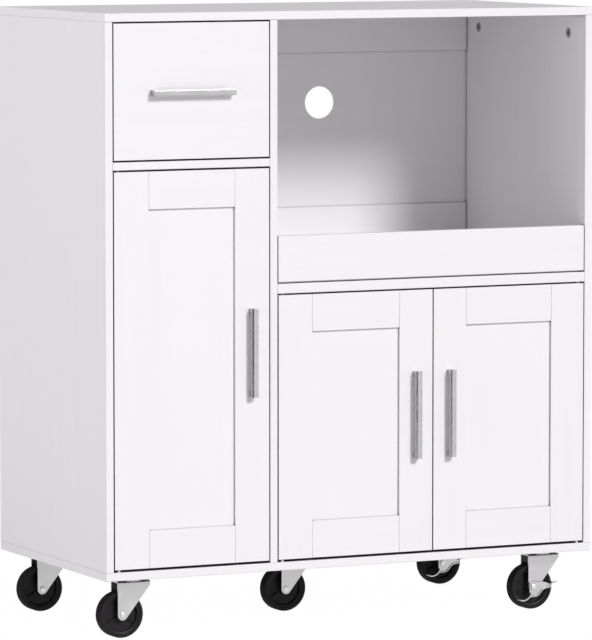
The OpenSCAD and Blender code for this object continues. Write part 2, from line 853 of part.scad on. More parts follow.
module door_pivots(door) {
    translate([pivot_x(door), pivot_b, door_z0]) pivot_pin(sill_gap);
    translate([pivot_x(door), pivot_b, door[2]]) rotate([180, 0, 0]) pivot_pin(front_gap);
}

// The steel plate on the back of a door that its catch's magnet holds
module door_strike(door) {
    margin = 2;
    translate([catch_x(door) - strike_w / 2, door_t, door[2] - catch_h + margin - front_gap])
        cube([strike_w, strike_t, catch_h - 2 * margin + front_gap]);
}

// ---- Casters -----------------------------------------------------------------------------

screw_pitch = plate_w - 14;
caster_screw_r = 2;
caster_screw_l = 10;

module at_plate_screws() {
    for (x = [-1, 1], y = [-1, 1]) translate([x * screw_pitch / 2, y * screw_pitch / 2, 0]) children();
}

module plate_screw_holes() {
    at_plate_screws() translate([0, 0, -cut])
        cylinder(r = caster_screw_r + running_gap, h = caster_screw_l + fit_gap + cut);
}

// Top plate with its pressed race, and the kingpin whose head holds the fork
module caster_plate() {
    race_out_r = 17;
    gap_z = fork_top + moving_gap;
    head_top = fork_top - fork_t - moving_gap;
    corner = 5;
    difference() {
        union() {
            translate([0, 0, -plate_t]) linear_extrude(plate_t) {
                square([plate_w, plate_w - 2 * corner], center = true);
                square([plate_w - 2 * corner, plate_w], center = true);
                for (x = [-1, 1], y = [-1, 1])
                    translate([x * (plate_w / 2 - corner), y * (plate_w / 2 - corner)])
                        circle(r = corner);
            }
            translate([0, 0, -plate_t]) mirror([0, 0, 1])
                cylinder(r1 = race_out_r + 1.5, r2 = race_out_r, h = -gap_z - plate_t);
            translate([0, 0, head_top - 2.5]) cylinder(r = kingpin_r + 3, h = 2.5);
            translate([0, 0, head_top - 0.1]) cylinder(r = kingpin_r, h = gap_z - head_top + 0.2);
        }
        at_plate_screws() translate([0, 0, -plate_t - cut])
            cylinder(r = caster_screw_r + 0.2, h = plate_t + 2 * cut);
    }
}

module caster_plates() {
    color(zinc) for (c = CASTERS) translate([c[0], c[1], 0]) caster_plate();
}

module caster_screws() {
    head_h = 1.8;
    color(zinc) for (c = CASTERS) translate([c[0], c[1], 0]) at_plate_screws() {
        translate([0, 0, -plate_t]) cylinder(r = caster_screw_r, h = plate_t + caster_screw_l);
        translate([0, 0, -plate_t - head_h]) cylinder(r = 3.6, h = head_h);
    }
}

// Side outline of a fork: upright rear edge, sloping front edge, round end at the axle
module fork_outline() {
    half = fork_l / 2;
    shoulder = 6;
    dx = half + trail;
    dz = fork_top - shoulder - axle_z;
    // The sloping edge leaves the shoulder and is tangent to the round end
    slope = atan2(dz, dx) + asin(fork_end_r / norm([dx, dz]));
    polygon(concat(arc([-trail, axle_z], fork_end_r, 180, 270 + slope, 20),
        [[half, fork_top - shoulder], [half, 0], [-trail - fork_end_r, 0]]));
}

// End section of a fork: a channel with round bends, open below
module fork_channel() {
    bend = 2.5;
    half = fork_w / 2;
    corner = [half - bend, -bend];
    outer = arc(corner, bend, 0, 90);
    inner = arc(corner, bend - fork_t, 0, 90);
    right = concat([[half, -caster_h]], outer);
    right_inner = concat([[half - fork_t, -caster_h]], inner);
    polygon(concat(right, [for (p = reversed(right)) [-p[0], p[1]]],
        [for (p = right_inner) [-p[0], p[1]]], reversed(right_inner)));
}

module caster_fork() {
    difference() {
        intersection() {
            translate([-caster_h, 0, fork_top]) rotate([90, 0, 90])
                linear_extrude(2 * caster_h) fork_channel();
            translate([0, fork_w, 0]) rotate([90, 0, 0]) linear_extrude(2 * fork_w) fork_outline();
        }
        translate([0, 0, fork_top - fork_t - cut])
            cylinder(r = kingpin_r + running_gap, h = fork_t + 2 * cut);
        translate([-trail, -fork_w, axle_z]) rotate([-90, 0, 0])
            cylinder(r = axle_r + running_gap, h = 2 * fork_w);
    }
}

// Half section of a wheel, radius along x: hub, sunk web, stepped rim and round-edged tread
module wheel_section() {
    half = wheel_w / 2;
    round_r = 1;
    hub_half = fork_w / 2 - fork_t - moving_gap;
    rim_r = wheel_r - 5;
    translate([axle_r + running_gap, -hub_half]) square([5, 2 * hub_half]);
    translate([axle_r + 1, -3]) square([wheel_r - axle_r - 4, 6]);
    translate([rim_r - 4, -half + 1.5]) square([6, wheel_w - 3]);
    translate([rim_r, -half]) square([5 - round_r, wheel_w]);
    translate([rim_r, -half + round_r]) square([5, wheel_w - 2 * round_r]);
    for (side = [-1, 1])
        translate([wheel_r - round_r, side * (half - round_r)]) circle(r = round_r);
}

module caster_wheel() {
    ribs = 3;
    translate([-trail, 0, axle_z]) rotate([90, 0, 0]) {
        rotate_extrude($fn = 96) wheel_section();
        for (i = [0 : ribs - 1]) rotate(90 + i * 360 / ribs)
            translate([axle_r + 4, -0.9, -wheel_w / 2 + 3])
                cube([wheel_r - axle_r - 12, 1.8, wheel_w - 6]);
    }
}

// Rivet through the fork's legs; a brake's rivet is longer by the brake's plate
module caster_axle(extra) {
    half = fork_w / 2;
    head_r = 5;
    translate([-trail, 0, axle_z]) rotate([90, 0, 0]) {
        translate([0, 0, -half]) cylinder(r = axle_r, h = fork_w + extra);
        translate([0, 0, half + extra]) cylinder(r1 = head_r, r2 = head_r - 1.4, h = rivet_h);
        translate([0, 0, -half - rivet_h]) cylinder(r1 = head_r - 1.4, r2 = head_r, h = rivet_h);
    }
}

brake_stack = brake_t + 2 * moving_gap;

// Lower edge of a brake's cheek, from its rear corner to its neck: the cup under the axle and,
// tangent to it, the hollow sweep up to the pedal. The edge is inset by so much.
cup_r = 15;
sweep_r = 14;
sweep_a = -35;
neck_x = pedal_reach - 8.5;

function brake_edge(inset) =
    let (sweep_c = (cup_r + sweep_r) * [cos(sweep_a), sin(sweep_a)])
    concat([[-fork_end_r, inset - cup_r]],
        arc([0, 0], cup_r - inset, -90, sweep_a),
        arc(sweep_c, sweep_r + inset, 180 + sweep_a, 90),
        [[neck_x - inset, sweep_c[1] + sweep_r + inset + 1]]);

// Outline of the cheek, whose upper edge slopes down to the neck
brake_top = 7;
neck_top = 3.3;

module brake_outline() {
    polygon(concat(brake_edge(0), [[neck_x + 1, neck_top - 0.5], [neck_x, neck_top],
        [cup_r + 3, brake_top], [-fork_end_r, brake_top + 1]]));
}

// Pedal: a tab with a round end, which rises toward its outer side
module brake_pedal() {
    rise = 0.28;
    low = 3.8;
    end_r = pedal_d / 2 - 0.5;
    intersection() {
        multmatrix([[1, 0, 0, 0], [0, 1, rise, 0], [0, 0, 1, 0], [0, 0, 0, 1]])
            linear_extrude(pedal_d)
                polygon([[neck_x - 2.5, neck_top - 1], [neck_x, neck_top - 1],
                    [neck_x + 1.5, low], [pedal_reach, low], [pedal_reach, low + brake_t],
                    [neck_x - 2.5, low + brake_t]]);
        rotate([-90, 0, 0]) mirror([0, 1, 0]) translate([0, 0, -pedal_d])
            linear_extrude(2 * pedal_d + brake_top)
                polygon(concat([[neck_x - 3, 0]],
                    arc([pedal_reach - end_r, end_r], end_r, -90, 0),
                    arc([pedal_reach - end_r, pedal_d - end_r], end_r, 0, 90),
                    [[neck_x - 3, pedal_d]]));
    }
}

// The brake's lever: a cheek on the axle with a turned-out rim, a pedal and a curled heel
heel_r = 14;
heel_c = [-22.6, -3.7];
heel_a0 = -20.6;
heel_a1 = -109;

module brake_lever() {
    rim_d = 3.4;
    rim_w = 1.2;
    plate_y = -fork_w / 2 - moving_gap;
    translate([-trail, plate_y, axle_z]) rotate([90, 0, 0]) {
        difference() {
            linear_extrude(brake_t) brake_outline();
            translate([0, 0, -cut]) cylinder(r = axle_r + running_gap, h = brake_t + 2 * cut);
        }
        linear_extrude(rim_d) {
            polygon(concat(brake_edge(0), reversed(brake_edge(rim_w))));
            translate([-fork_end_r, heel_c[1] - 6]) square([rim_w, brake_top - heel_c[1] + 6]);
        }
        brake_pedal();
        linear_extrude(pedal_d)
            polygon(concat(arc(heel_c, heel_r + brake_t, heel_a0, heel_a1),
                reversed(arc(heel_c, heel_r, heel_a0 + 4, heel_a1)),
                [heel_c + (heel_r + brake_t) * [cos(heel_a0 + 4), sin(heel_a0 + 4)]]));
    }
}

// Draws one caster's piece at its swivel axis
module at_caster(c) {
    in_cabinet() translate([c[0], c[1], 0]) children();
}

module fork_at(c) { color(zinc) at_caster(c) caster_fork(); }
module wheel_at(c) { color(black) at_caster(c) caster_wheel(); }
module axle_at(c, extra) { color(zinc) at_caster(c) caster_axle(extra); }
module brake_at(c) { color(zinc) at_caster(c) brake_lever(); }

// ---- Nodes -------------------------------------------------------------------------------

in_cabinet() top_panel();
in_cabinet() bottom_panel();
in_cabinet() left_side_panel();
in_cabinet() right_side_panel();
in_cabinet() divider_panel();
in_cabinet() microwave_shelf();
in_cabinet() drawer_support();
in_cabinet() shelf_lip();
in_cabinet() back_rails();
in_cabinet() bay_back_panel();
in_cabinet() left_back_panel();
in_cabinet() cupboard_back_panel();
in_cabinet() left_cupboard_shelf();
in_cabinet() right_cupboard_shelf();
in_cabinet() shelf_pins();
in_cabinet() cam_locks();
in_cabinet() dowels();
in_cabinet() pivot_bushes();
in_cabinet() door_catches();
in_cabinet() cabinet_runners();
in_cabinet() runner_ball_cages();
in_cabinet() drawer_front();
in_cabinet() drawer_box_boards();
in_cabinet() drawer_bottom();
in_cabinet() drawer_handle();
in_cabinet() drawer_runners();
in_cabinet() color(board_white) door_frame(LEFT_DOOR);  // left_door_frame
in_cabinet() color(board_white) door_panel(LEFT_DOOR);  // left_door_panel
in_cabinet() color(steel) at_door_handle(LEFT_DOOR) bar_handle();  // left_door_handle
in_cabinet() color(zinc) door_pivots(LEFT_DOOR);  // left_door_pivots
in_cabinet() color(zinc) door_strike(LEFT_DOOR);  // left_door_strike
in_cabinet() color(board_white) door_frame(CENTRE_DOOR);  // centre_door_frame
in_cabinet() color(board_white) door_panel(CENTRE_DOOR);  // centre_door_panel
in_cabinet() color(steel) at_door_handle(CENTRE_DOOR) bar_handle();  // centre_door_handle
in_cabinet() color(zinc) door_pivots(CENTRE_DOOR);  // centre_door_pivots
in_cabinet() color(zinc) door_strike(CENTRE_DOOR);  // centre_door_strike
in_cabinet() color(board_white) door_frame(RIGHT_DOOR);  // right_door_frame
in_cabinet() color(board_white) door_panel(RIGHT_DOOR);  // right_door_panel
in_cabinet() color(steel) at_door_handle(RIGHT_DOOR) bar_handle();  // right_door_handle
in_cabinet() color(zinc) door_pivots(RIGHT_DOOR);  // right_door_pivots
in_cabinet() color(zinc) door_strike(RIGHT_DOOR);  // right_door_strike
in_cabinet() caster_plates();
in_cabinet() caster_screws();
fork_at(FRONT_LEFT);  // front_left_fork
wheel_at(FRONT_LEFT);  // front_left_wheel
axle_at(FRONT_LEFT, 0);  // front_left_axle
fork_at(REAR_LEFT);  // rear_left_fork
wheel_at(REAR_LEFT);  // rear_left_wheel
axle_at(REAR_LEFT, 0);  // rear_left_axle
fork_at(CENTRE);  // centre_fork
wheel_at(CENTRE);  // centre_wheel
axle_at(CENTRE, 0);  // centre_axle
fork_at(REAR_RIGHT);  // rear_right_fork
wheel_at(REAR_RIGHT);  // rear_right_wheel
axle_at(REAR_RIGHT, brake_stack);  // rear_right_axle
brake_at(REAR_RIGHT);  // rear_right_brake
fork_at(FRONT_RIGHT);  // front_right_fork
wheel_at(FRONT_RIGHT);  // front_right_wheel
axle_at(FRONT_RIGHT, brake_stack);  // front_right_axle
brake_at(FRONT_RIGHT);  // front_right_brake
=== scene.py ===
"""Looks of a white kitchen cart on five casters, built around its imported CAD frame.

Boards, steel parts and fittings are the frame's own shapes with eased edges. Fronts, handles,
wheels and rivets are built anew. Everything gets a procedural finish. Lengths are in millimetres
in the carcass's own places: x from its left face, y from its front edge, z from its underside.
"""

import logging
import math
from collections.abc import Iterable, Sequence
from dataclasses import dataclass, field
from enum import Enum
from typing import TypeVar

import bmesh
import bpy
from bmesh.types import BMEdge, BMesh, BMFace, BMVert
from bpy.types import Light, Material, Node, NodeSocket, NodeTree, Object
from mathutils import Matrix, Vector


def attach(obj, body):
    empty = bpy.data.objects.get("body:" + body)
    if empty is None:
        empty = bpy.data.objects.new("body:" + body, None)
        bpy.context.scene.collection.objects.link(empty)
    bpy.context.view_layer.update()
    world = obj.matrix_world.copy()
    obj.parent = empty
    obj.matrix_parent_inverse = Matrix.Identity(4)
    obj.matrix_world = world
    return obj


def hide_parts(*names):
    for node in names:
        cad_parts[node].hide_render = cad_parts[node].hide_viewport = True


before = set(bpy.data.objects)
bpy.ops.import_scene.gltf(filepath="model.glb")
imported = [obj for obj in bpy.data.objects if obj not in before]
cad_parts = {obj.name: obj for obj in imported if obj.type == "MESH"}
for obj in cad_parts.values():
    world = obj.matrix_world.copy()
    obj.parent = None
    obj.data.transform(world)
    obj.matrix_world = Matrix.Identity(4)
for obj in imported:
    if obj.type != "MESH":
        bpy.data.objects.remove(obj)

LOG = logging.getLogger("cart")
MM = 0.001

Point = tuple[float, float, float]
Flat = tuple[float, float]
Colour = tuple[float, float, float]
Value = NodeSocket | float | tuple[float, ...]
Inputs = dict[str | int, Value]
Part = TypeVar("Part")

WHITE = (1.0, 1.0, 1.0, 1.0)


# ---- Places -------------------------------------------------------------------------------


@dataclass(frozen=True)
class CarcassPlaces:
    """Main sizes of the carcass, and the way from them to the frame.

    Attributes:
        width: Width over the side panels.
        depth: Depth of the side panels.
        reach: Distance that the handles stand out in front.
        lift: Height of the underside above the floor.
    """

    width: float = 800.0
    depth: float = 400.0
    reach: float = 13.5
    lift: float = 90.0

    def to_frame(self) -> Matrix:
        """Return the matrix from carcass millimetres to metres in the frame."""
        move = Matrix.Translation((-self.width / 2, (self.reach - self.depth) / 2, self.lift))
        return Matrix.Scale(MM, 4) @ move


CART = CarcassPlaces()


def arc(centre: Flat, radius: float, start: float, end: float, steps: int) -> list[Flat]:
    """Return points along an arc.

    Args:
        centre: Centre of the arc.
        radius: Its radius.
        start: First angle in degrees.
        end: Last angle in degrees.
        steps: Number of equal steps between them.

    Returns:
        The steps + 1 points, in order.
    """
    angles = [math.radians(start + (end - start) * i / steps) for i in range(steps + 1)]
    return [(centre[0] + radius * math.cos(a), centre[1] + radius * math.sin(a)) for a in angles]


def dome(radius: float, height: float, steps: int = 5) -> list[Flat]:
    """Return a dome's profile, as radius and height, from its rim to its top.

    Args:
        radius: Radius of the rim.
        height: Height of the top over the rim.
        steps: Number of steps on the way.

    Returns:
        The steps + 1 points, in order.
    """
    ball = (radius * radius + height * height) / (2.0 * height)
    spread = math.degrees(math.asin(radius / ball))
    points = arc((0.0, height - ball), ball, 90.0 - spread, 90.0, steps)
    return [*points[:-1], (0.0, height)]


# ---- Finishes -----------------------------------------------------------------------------


class Grain(Enum):
    """Direction in which a grain runs; the value is the number of its axis."""

    ACROSS = 0
    DEEP = 1
    UP = 2

    def stretch(self, along: float, over: float) -> Point:
        """Return a noise scale that draws streaks along the grain.

        Args:
            along: Changes per metre along the grain.
            over: Changes per metre over it.

        Returns:
            The scale in x, y and z.
        """
        scale = [over, over, over]
        scale[self.value] = along
        return (scale[0], scale[1], scale[2])


class Wiring:
    """Nodes under construction in one node tree."""

    def __init__(self, tree: NodeTree) -> None:
        """Start from an empty tree.

        Args:
            tree: The tree to fill.
        """
        self.nodes = tree.nodes
        self.links = tree.links
        self.nodes.clear()

    def add(self, kind: str, inputs: Inputs | None = None, **settings: object) -> Node:
        """Add a node.

        Args:
            kind: Blender's name of the node type.
            inputs: Value or source of each input, by its name or number.
            **settings: Properties of the node.

        Returns:
            The node.
        """
        node = self.nodes.new(kind)
        for name, setting in settings.items():
            setattr(node, name, setting)
        for key, value in (inputs or {}).items():
            if isinstance(value, NodeSocket):
                self.links.new(value, node.inputs[key])
            else:
                node.inputs[key].default_value = value
        return node

    def calculate(self, operation: str, *values: NodeSocket | float) -> NodeSocket:
        """Return the result of a Math node's operation on some values."""
        node = self.add("ShaderNodeMath", dict(enumerate(values)), operation=operation)
        return node.outputs["Value"]

    def either(self, first: NodeSocket, *others: NodeSocket) -> NodeSocket:
        """Return the highest of some values.

        Args:
            first: The first value.
            *others: The values that may be higher.

        Returns:
            The highest value.
        """
        highest = first
        for other in others:
            highest = self.calculate("MAXIMUM", highest, other)
        return highest

    def swap(self, share: NodeSocket, usual: NodeSocket, special: NodeSocket) -> NodeSocket:
        """Return a shader that goes over from the usual one to the special one by a share."""
        return self.add("ShaderNodeMixShader", {0: share, 1: usual, 2: special}).outputs["Shader"]


class Paintwork(Wiring):
    """A material under construction: one shader and the nodes that feed it.

    Attributes:
        MIDDLE: Span in which most of a noise pattern lies.
        DARKENING: Open sky at the bottom of a seam, where the painted shade is deepest, and where
            its colour is whole again.
        DULLING: The same for the painted dulling of its sheen.
        SHEEN: Specular level of an open face beside a seam.
        FACING_FRONT: The normal's part to the back on a face to the front, and on one turned away.
    """

    MIDDLE: Flat = (0.3, 0.7)
    DARKENING: Flat = (0.26, 0.82)
    DULLING: Flat = (0.30, 0.80)
    SHEEN: float = 0.3
    FACING_FRONT: Flat = (-0.95, -0.80)

    def __init__(self, name: str) -> None:
        """Start an empty material.

        Args:
            name: Name of the material.
        """
        self.material = bpy.data.materials.new(name)
        self.material.use_nodes = True
        super().__init__(self.material.node_tree)
        self.shader = self.add("ShaderNodeBsdfPrincipled")
        self.output = self.add("ShaderNodeOutputMaterial")
        self.show(self.shader.outputs["BSDF"])
        places = self.add("ShaderNodeTexCoord")
        self.place = places.outputs["Object"]
        self.normal = places.outputs["Normal"]

    def show(self, surface: NodeSocket) -> None:
        """Make a shader's output the visible surface."""
        self.links.new(surface, self.output.inputs["Surface"])

    def feed(self, socket: str, value: NodeSocket | float) -> None:
        """Set or link one of the shader's own sockets.

        Args:
            socket: Name of the socket.
            value: Its value, or where it comes from.
        """
        target = self.shader.inputs[socket]
        if isinstance(value, NodeSocket):
            self.links.new(value, target)
        else:
            target.default_value = value

    def noise(self, scale: Point, detail: float = 3.0, roughness: float = 0.55) -> NodeSocket:
        """Return a noise pattern on the object's own places.

        Args:
            scale: Changes per metre in x, y and z.
            detail: Number of finer layers.
            roughness: Share of each finer layer.

        Returns:
            The pattern, from 0 to 1.
        """
        mapped = self.add("ShaderNodeMapping", {"Vector": self.place, "Scale": scale})
        inputs = {"Scale": 1.0, "Detail": detail, "Roughness": roughness}
        node = self.add("ShaderNodeTexNoise", {"Vector": mapped.outputs["Vector"], **inputs})
        return node.outputs["Fac"]

    def remap(self, value: NodeSocket, span: Flat, to: Flat = (0.0, 1.0)) -> NodeSocket:
        """Return a value spread from one span over another, and clamped there.

        Args:
            value: The value.
            span: Its lowest and highest figure.
            to: What these two become.

        Returns:
            The new value.
        """
        ends = dict(zip(("From Min", "From Max", "To Min", "To Max"), (*span, *to)))
        return self.add("ShaderNodeMapRange", {"Value": value, **ends}).outputs["Result"]

    def total(self, first: NodeSocket, second: NodeSocket, share: float) -> NodeSocket:
        """Return first plus share times second."""
        return self.calculate("MULTIPLY_ADD", second, share, first)

    def blend(self, share: NodeSocket, dark: Colour, light: Colour) -> NodeSocket:
        """Return a colour between dark and light."""
        inputs = {0: share, 6: (*dark, 1.0), 7: (*light, 1.0)}
        return self.add("ShaderNodeMix", inputs, data_type="RGBA").outputs[2]

    def seam(
        self, colour: NodeSocket, rest: float, reach: float, front_unshaded: bool = False,
    ) -> NodeSocket:
        """Paint shade into seams and tight gaps: darken a colour and dull its sheen where ambient
        occlusion finds little open sky.

        Args:
            colour: Colour on the open face.
            rest: Share of the colour that is left under the painted shade at the bottom of a seam.
            reach: Width of the seams that it finds, in millimetres.
            front_unshaded: Whether faces to the front get no painted shade, as around a handle's
                feet.

        Returns:
            The colour with painted shade.
        """
        found = self.add("ShaderNodeAmbientOcclusion", {"Distance": reach * MM}, samples=6)
        sky = found.outputs["AO"]
        # Painted shade: the less open sky the occlusion finds, the darker the colour.
        share = self.remap(sky, self.DARKENING, (rest, 1.0))
        if front_unshaded:
            parts = self.add("ShaderNodeSeparateXYZ", {"Vector": self.normal})
            front = self.remap(parts.outputs["Y"], self.FACING_FRONT, (1.0, 0.0))
            share = self.either(share, front)
        # The socket's own value, the open faces' sheen, is set before the link. The
        # export keeps the socket's own value, so it is set before the link.
        self.feed("Specular IOR Level", self.SHEEN)
        self.feed("Specular IOR Level", self.remap(sky, self.DULLING, (0.0, self.SHEEN)))
        product = self.add("ShaderNodeVectorMath", {0: colour, "Scale": share}, operation="SCALE")
        return product.outputs["Vector"]

    def roughen(self, pattern: NodeSocket, middle: float, less: float, more: float) -> None:
        """Let a pattern vary the roughness around its middle.

        Args:
            pattern: Noise pattern.
            middle: The middle roughness.
            less: How far it falls below that.
            more: How far it rises above it.
        """
        self.feed("Roughness", self.remap(pattern, self.MIDDLE, (middle - less, middle + more)))

    def emboss(self, height: NodeSocket, depth: float, strength: float) -> None:
        """Press a height pattern into the surface.

        Args:
            height: Pattern from 0 to 1.
            depth: Its depth in millimetres.
            strength: Share of its slope that shows.
        """
        inputs = {"Height": height, "Distance": depth * MM, "Strength": strength}
        self.feed("Normal", self.add("ShaderNodeBump", inputs).outputs["Normal"])


def darker(colour: Colour, share: float) -> Colour:
    """Return a colour darkened by a share of itself."""
    red, green, blue = (part * (1.0 - share) for part in colour)
    return (red, green, blue)


@dataclass(frozen=True)
class Melamine:
    """White paper-faced board with a faint pressed grain.

    Attributes:
        name: Name of the material.
        grain: Direction of its grain.
        colour: Colour of the face.
        tone: Share by which the grain darkens it.
        depth: Depth of the grain in millimetres.
        roughness: Middle roughness.
        seam_shade_rest: Share of the colour that is left under painted shade in tight gaps.
        reach: Width of the gaps that get painted shade, in millimetres.
        front_unshaded: Whether its faces to the front get no painted shade beside what stands on
            them.
        pores: Changes of the fine grain per metre, along and over it.
        streaks: Changes of its broader streaks per metre, along and over them.
        clouds: Changes of the slow shift in tone per metre.
        streak_depth: Depth of the streaks against that of the pores.
        cloud_share: Strength of the clouds against that of the streaks.
        tone_span: Span of streaks and clouds over which the tone changes.
        slope: Share of the grain's slope that shows.
        ior: Refractive index of the face.
    """

    name: str
    grain: Grain
    colour: Colour = (0.880, 0.869, 0.880)
    tone: float = 0.03
    depth: float = 0.10
    roughness: float = 0.45
    seam_shade_rest: float = 0.02
    reach: float = 7.0
    front_unshaded: bool = False
    pores: Flat = (7.0, 620.0)
    streaks: Flat = (1.6, 110.0)
    clouds: float = 2.2
    streak_depth: float = 1.3
    cloud_share: float = 0.35
    tone_span: Flat = (0.40, 0.95)
    slope: float = 0.35
    ior: float = 1.46

    def build(self) -> Material:
        """Return the material."""
        work = Paintwork(self.name)
        fine = work.noise(self.grain.stretch(*self.pores))
        streak = work.noise(self.grain.stretch(*self.streaks), detail=4.0, roughness=0.6)
        cloud = work.noise((self.clouds,) * 3, detail=2.0)
        shade = work.remap(work.total(streak, cloud, self.cloud_share), self.tone_span)
        tint = work.blend(shade, darker(self.colour, self.tone), self.colour)
        # Painted shade: the grained colour is darkened and its sheen dulled in seams and gaps.
        work.feed("Base Color", work.seam(tint, self.seam_shade_rest, self.reach, self.front_unshaded))
        work.roughen(fine, self.roughness, less=0.05, more=0.06)
        work.feed("IOR", self.ior)
        work.emboss(work.total(fine, streak, self.streak_depth), self.depth, self.slope)
        return work.material


@dataclass(frozen=True)
class Metal:
    """Bare or plated metal, drawn, pressed or turned.

    Attributes:
        name: Name of the material.
        colour: Colour of the metal.
        roughness: Middle roughness.
        scale: Changes of its grain per metre, in x, y and z.
        depth: Depth of the grain in millimetres.
        uneven: Share by which its colour varies.
        seam_shade_rest: Share of the colour that is left under painted shade in tight gaps; 1
            paints no shade.
        reach: Width of the gaps that get painted shade, in millimetres.
        patches: Changes of its duller patches per metre.
        patch_share: Strength of the patches against that of the grain.
        tone_span: Span of grain and patches over which the tone changes.
        slope: Share of the grain's slope that shows.
    """

    name: str
    colour: Colour
    roughness: float = 0.35
    scale: Point = (500.0, 500.0, 500.0)
    depth: float = 0.02
    uneven: float = 0.06
    seam_shade_rest: float = 1.0
    reach: float = 14.0
    patches: float = 60.0
    patch_share: float = 0.8
    tone_span: Flat = (0.55, 1.2)
    slope: float = 0.3

    def build(self) -> Material:
        """Return the material."""
        work = Paintwork(self.name)
        grain = work.noise(self.scale)
        patch = work.noise((self.patches,) * 3, detail=2.0)
        shade = work.remap(work.total(grain, patch, self.patch_share), self.tone_span)
        tint = work.blend(shade, darker(self.colour, self.uneven), self.colour)
        # Painted shade in seams and gaps, unless the share left there is whole.
        if self.seam_shade_rest < 1.0:
            tint = work.seam(tint, self.seam_shade_rest, self.reach)
        work.feed("Base Color", tint)
        work.feed("Metallic", 1.0)
        work.roughen(patch, self.roughness, less=0.05, more=0.07)
        work.emboss(grain, self.depth, self.slope)
        return work.material


@dataclass(frozen=True)
class Moulding:
    """Moulded plastic with a fine texture.

    Attributes:
        name: Name of the material.
        colour: Colour of the plastic.
        roughness: Middle roughness.
        depth: Depth of the texture in millimetres.
        gloss: Strength of its reflection, where 0.5 is plain plastic.
        texture: Changes of the texture per metre.
        flow: Changes of the flow marks per metre.
        uneven: Share by which the flow marks darken it.
        slope: Share of the texture's slope that shows.
    """

    name: str
    colour: Colour
    roughness: float = 0.4
    depth: float = 0.03
    gloss: float = 0.5
    texture: float = 900.0
    flow: float = 45.0
    uneven: float = 0.12
    slope: float = 0.25

    def build(self) -> Material:
        """Return the material."""
        work = Paintwork(self.name)
        texture = work.noise((self.texture,) * 3, detail=2.0)
        flow = work.noise((self.flow,) * 3)
        shade = work.remap(flow, work.MIDDLE)
        work.feed("Base Color", work.blend(shade, darker(self.colour, self.uneven), self.colour))
        work.roughen(flow, self.roughness, less=0.06, more=0.06)
        work.feed("Specular IOR Level", self.gloss)
        work.emboss(texture, self.depth, self.slope)
        return work.material


@dataclass(frozen=True)
class Beech:
    """Bare turned beech.

    Attributes:
        name: Name of the material.
        colour: Colour of the light wood.
        rays: Changes of its rays per metre, along and over the grain.
        ray_span: Span of the rays over which the tone changes.
        uneven: Share by which the rays darken it.
        roughness: Its roughness.
        depth: Depth of the rays in millimetres.
        slope: Share of their slope that shows.
    """

    name: str
    colour: Colour = (0.62, 0.43, 0.24)
    rays: Flat = (160.0, 900.0)
    ray_span: Flat = (0.35, 0.65)
    uneven: float = 0.28
    roughness: float = 0.7
    depth: float = 0.05
    slope: float = 0.4

    def build(self) -> Material:
        """Return the material."""
        work = Paintwork(self.name)
        rays = work.noise(Grain.ACROSS.stretch(*self.rays), detail=4.0)
        shade = work.remap(rays, self.ray_span)
        work.feed("Base Color", work.blend(shade, darker(self.colour, self.uneven), self.colour))
        work.feed("Roughness", self.roughness)
        work.emboss(rays, self.depth, self.slope)
        return work.material


def coat(recipe: Melamine | Metal | Moulding | Beech) -> Material:
    """Return a palette's field whose material is built when the palette is made."""
    return field(default_factory=recipe.build)


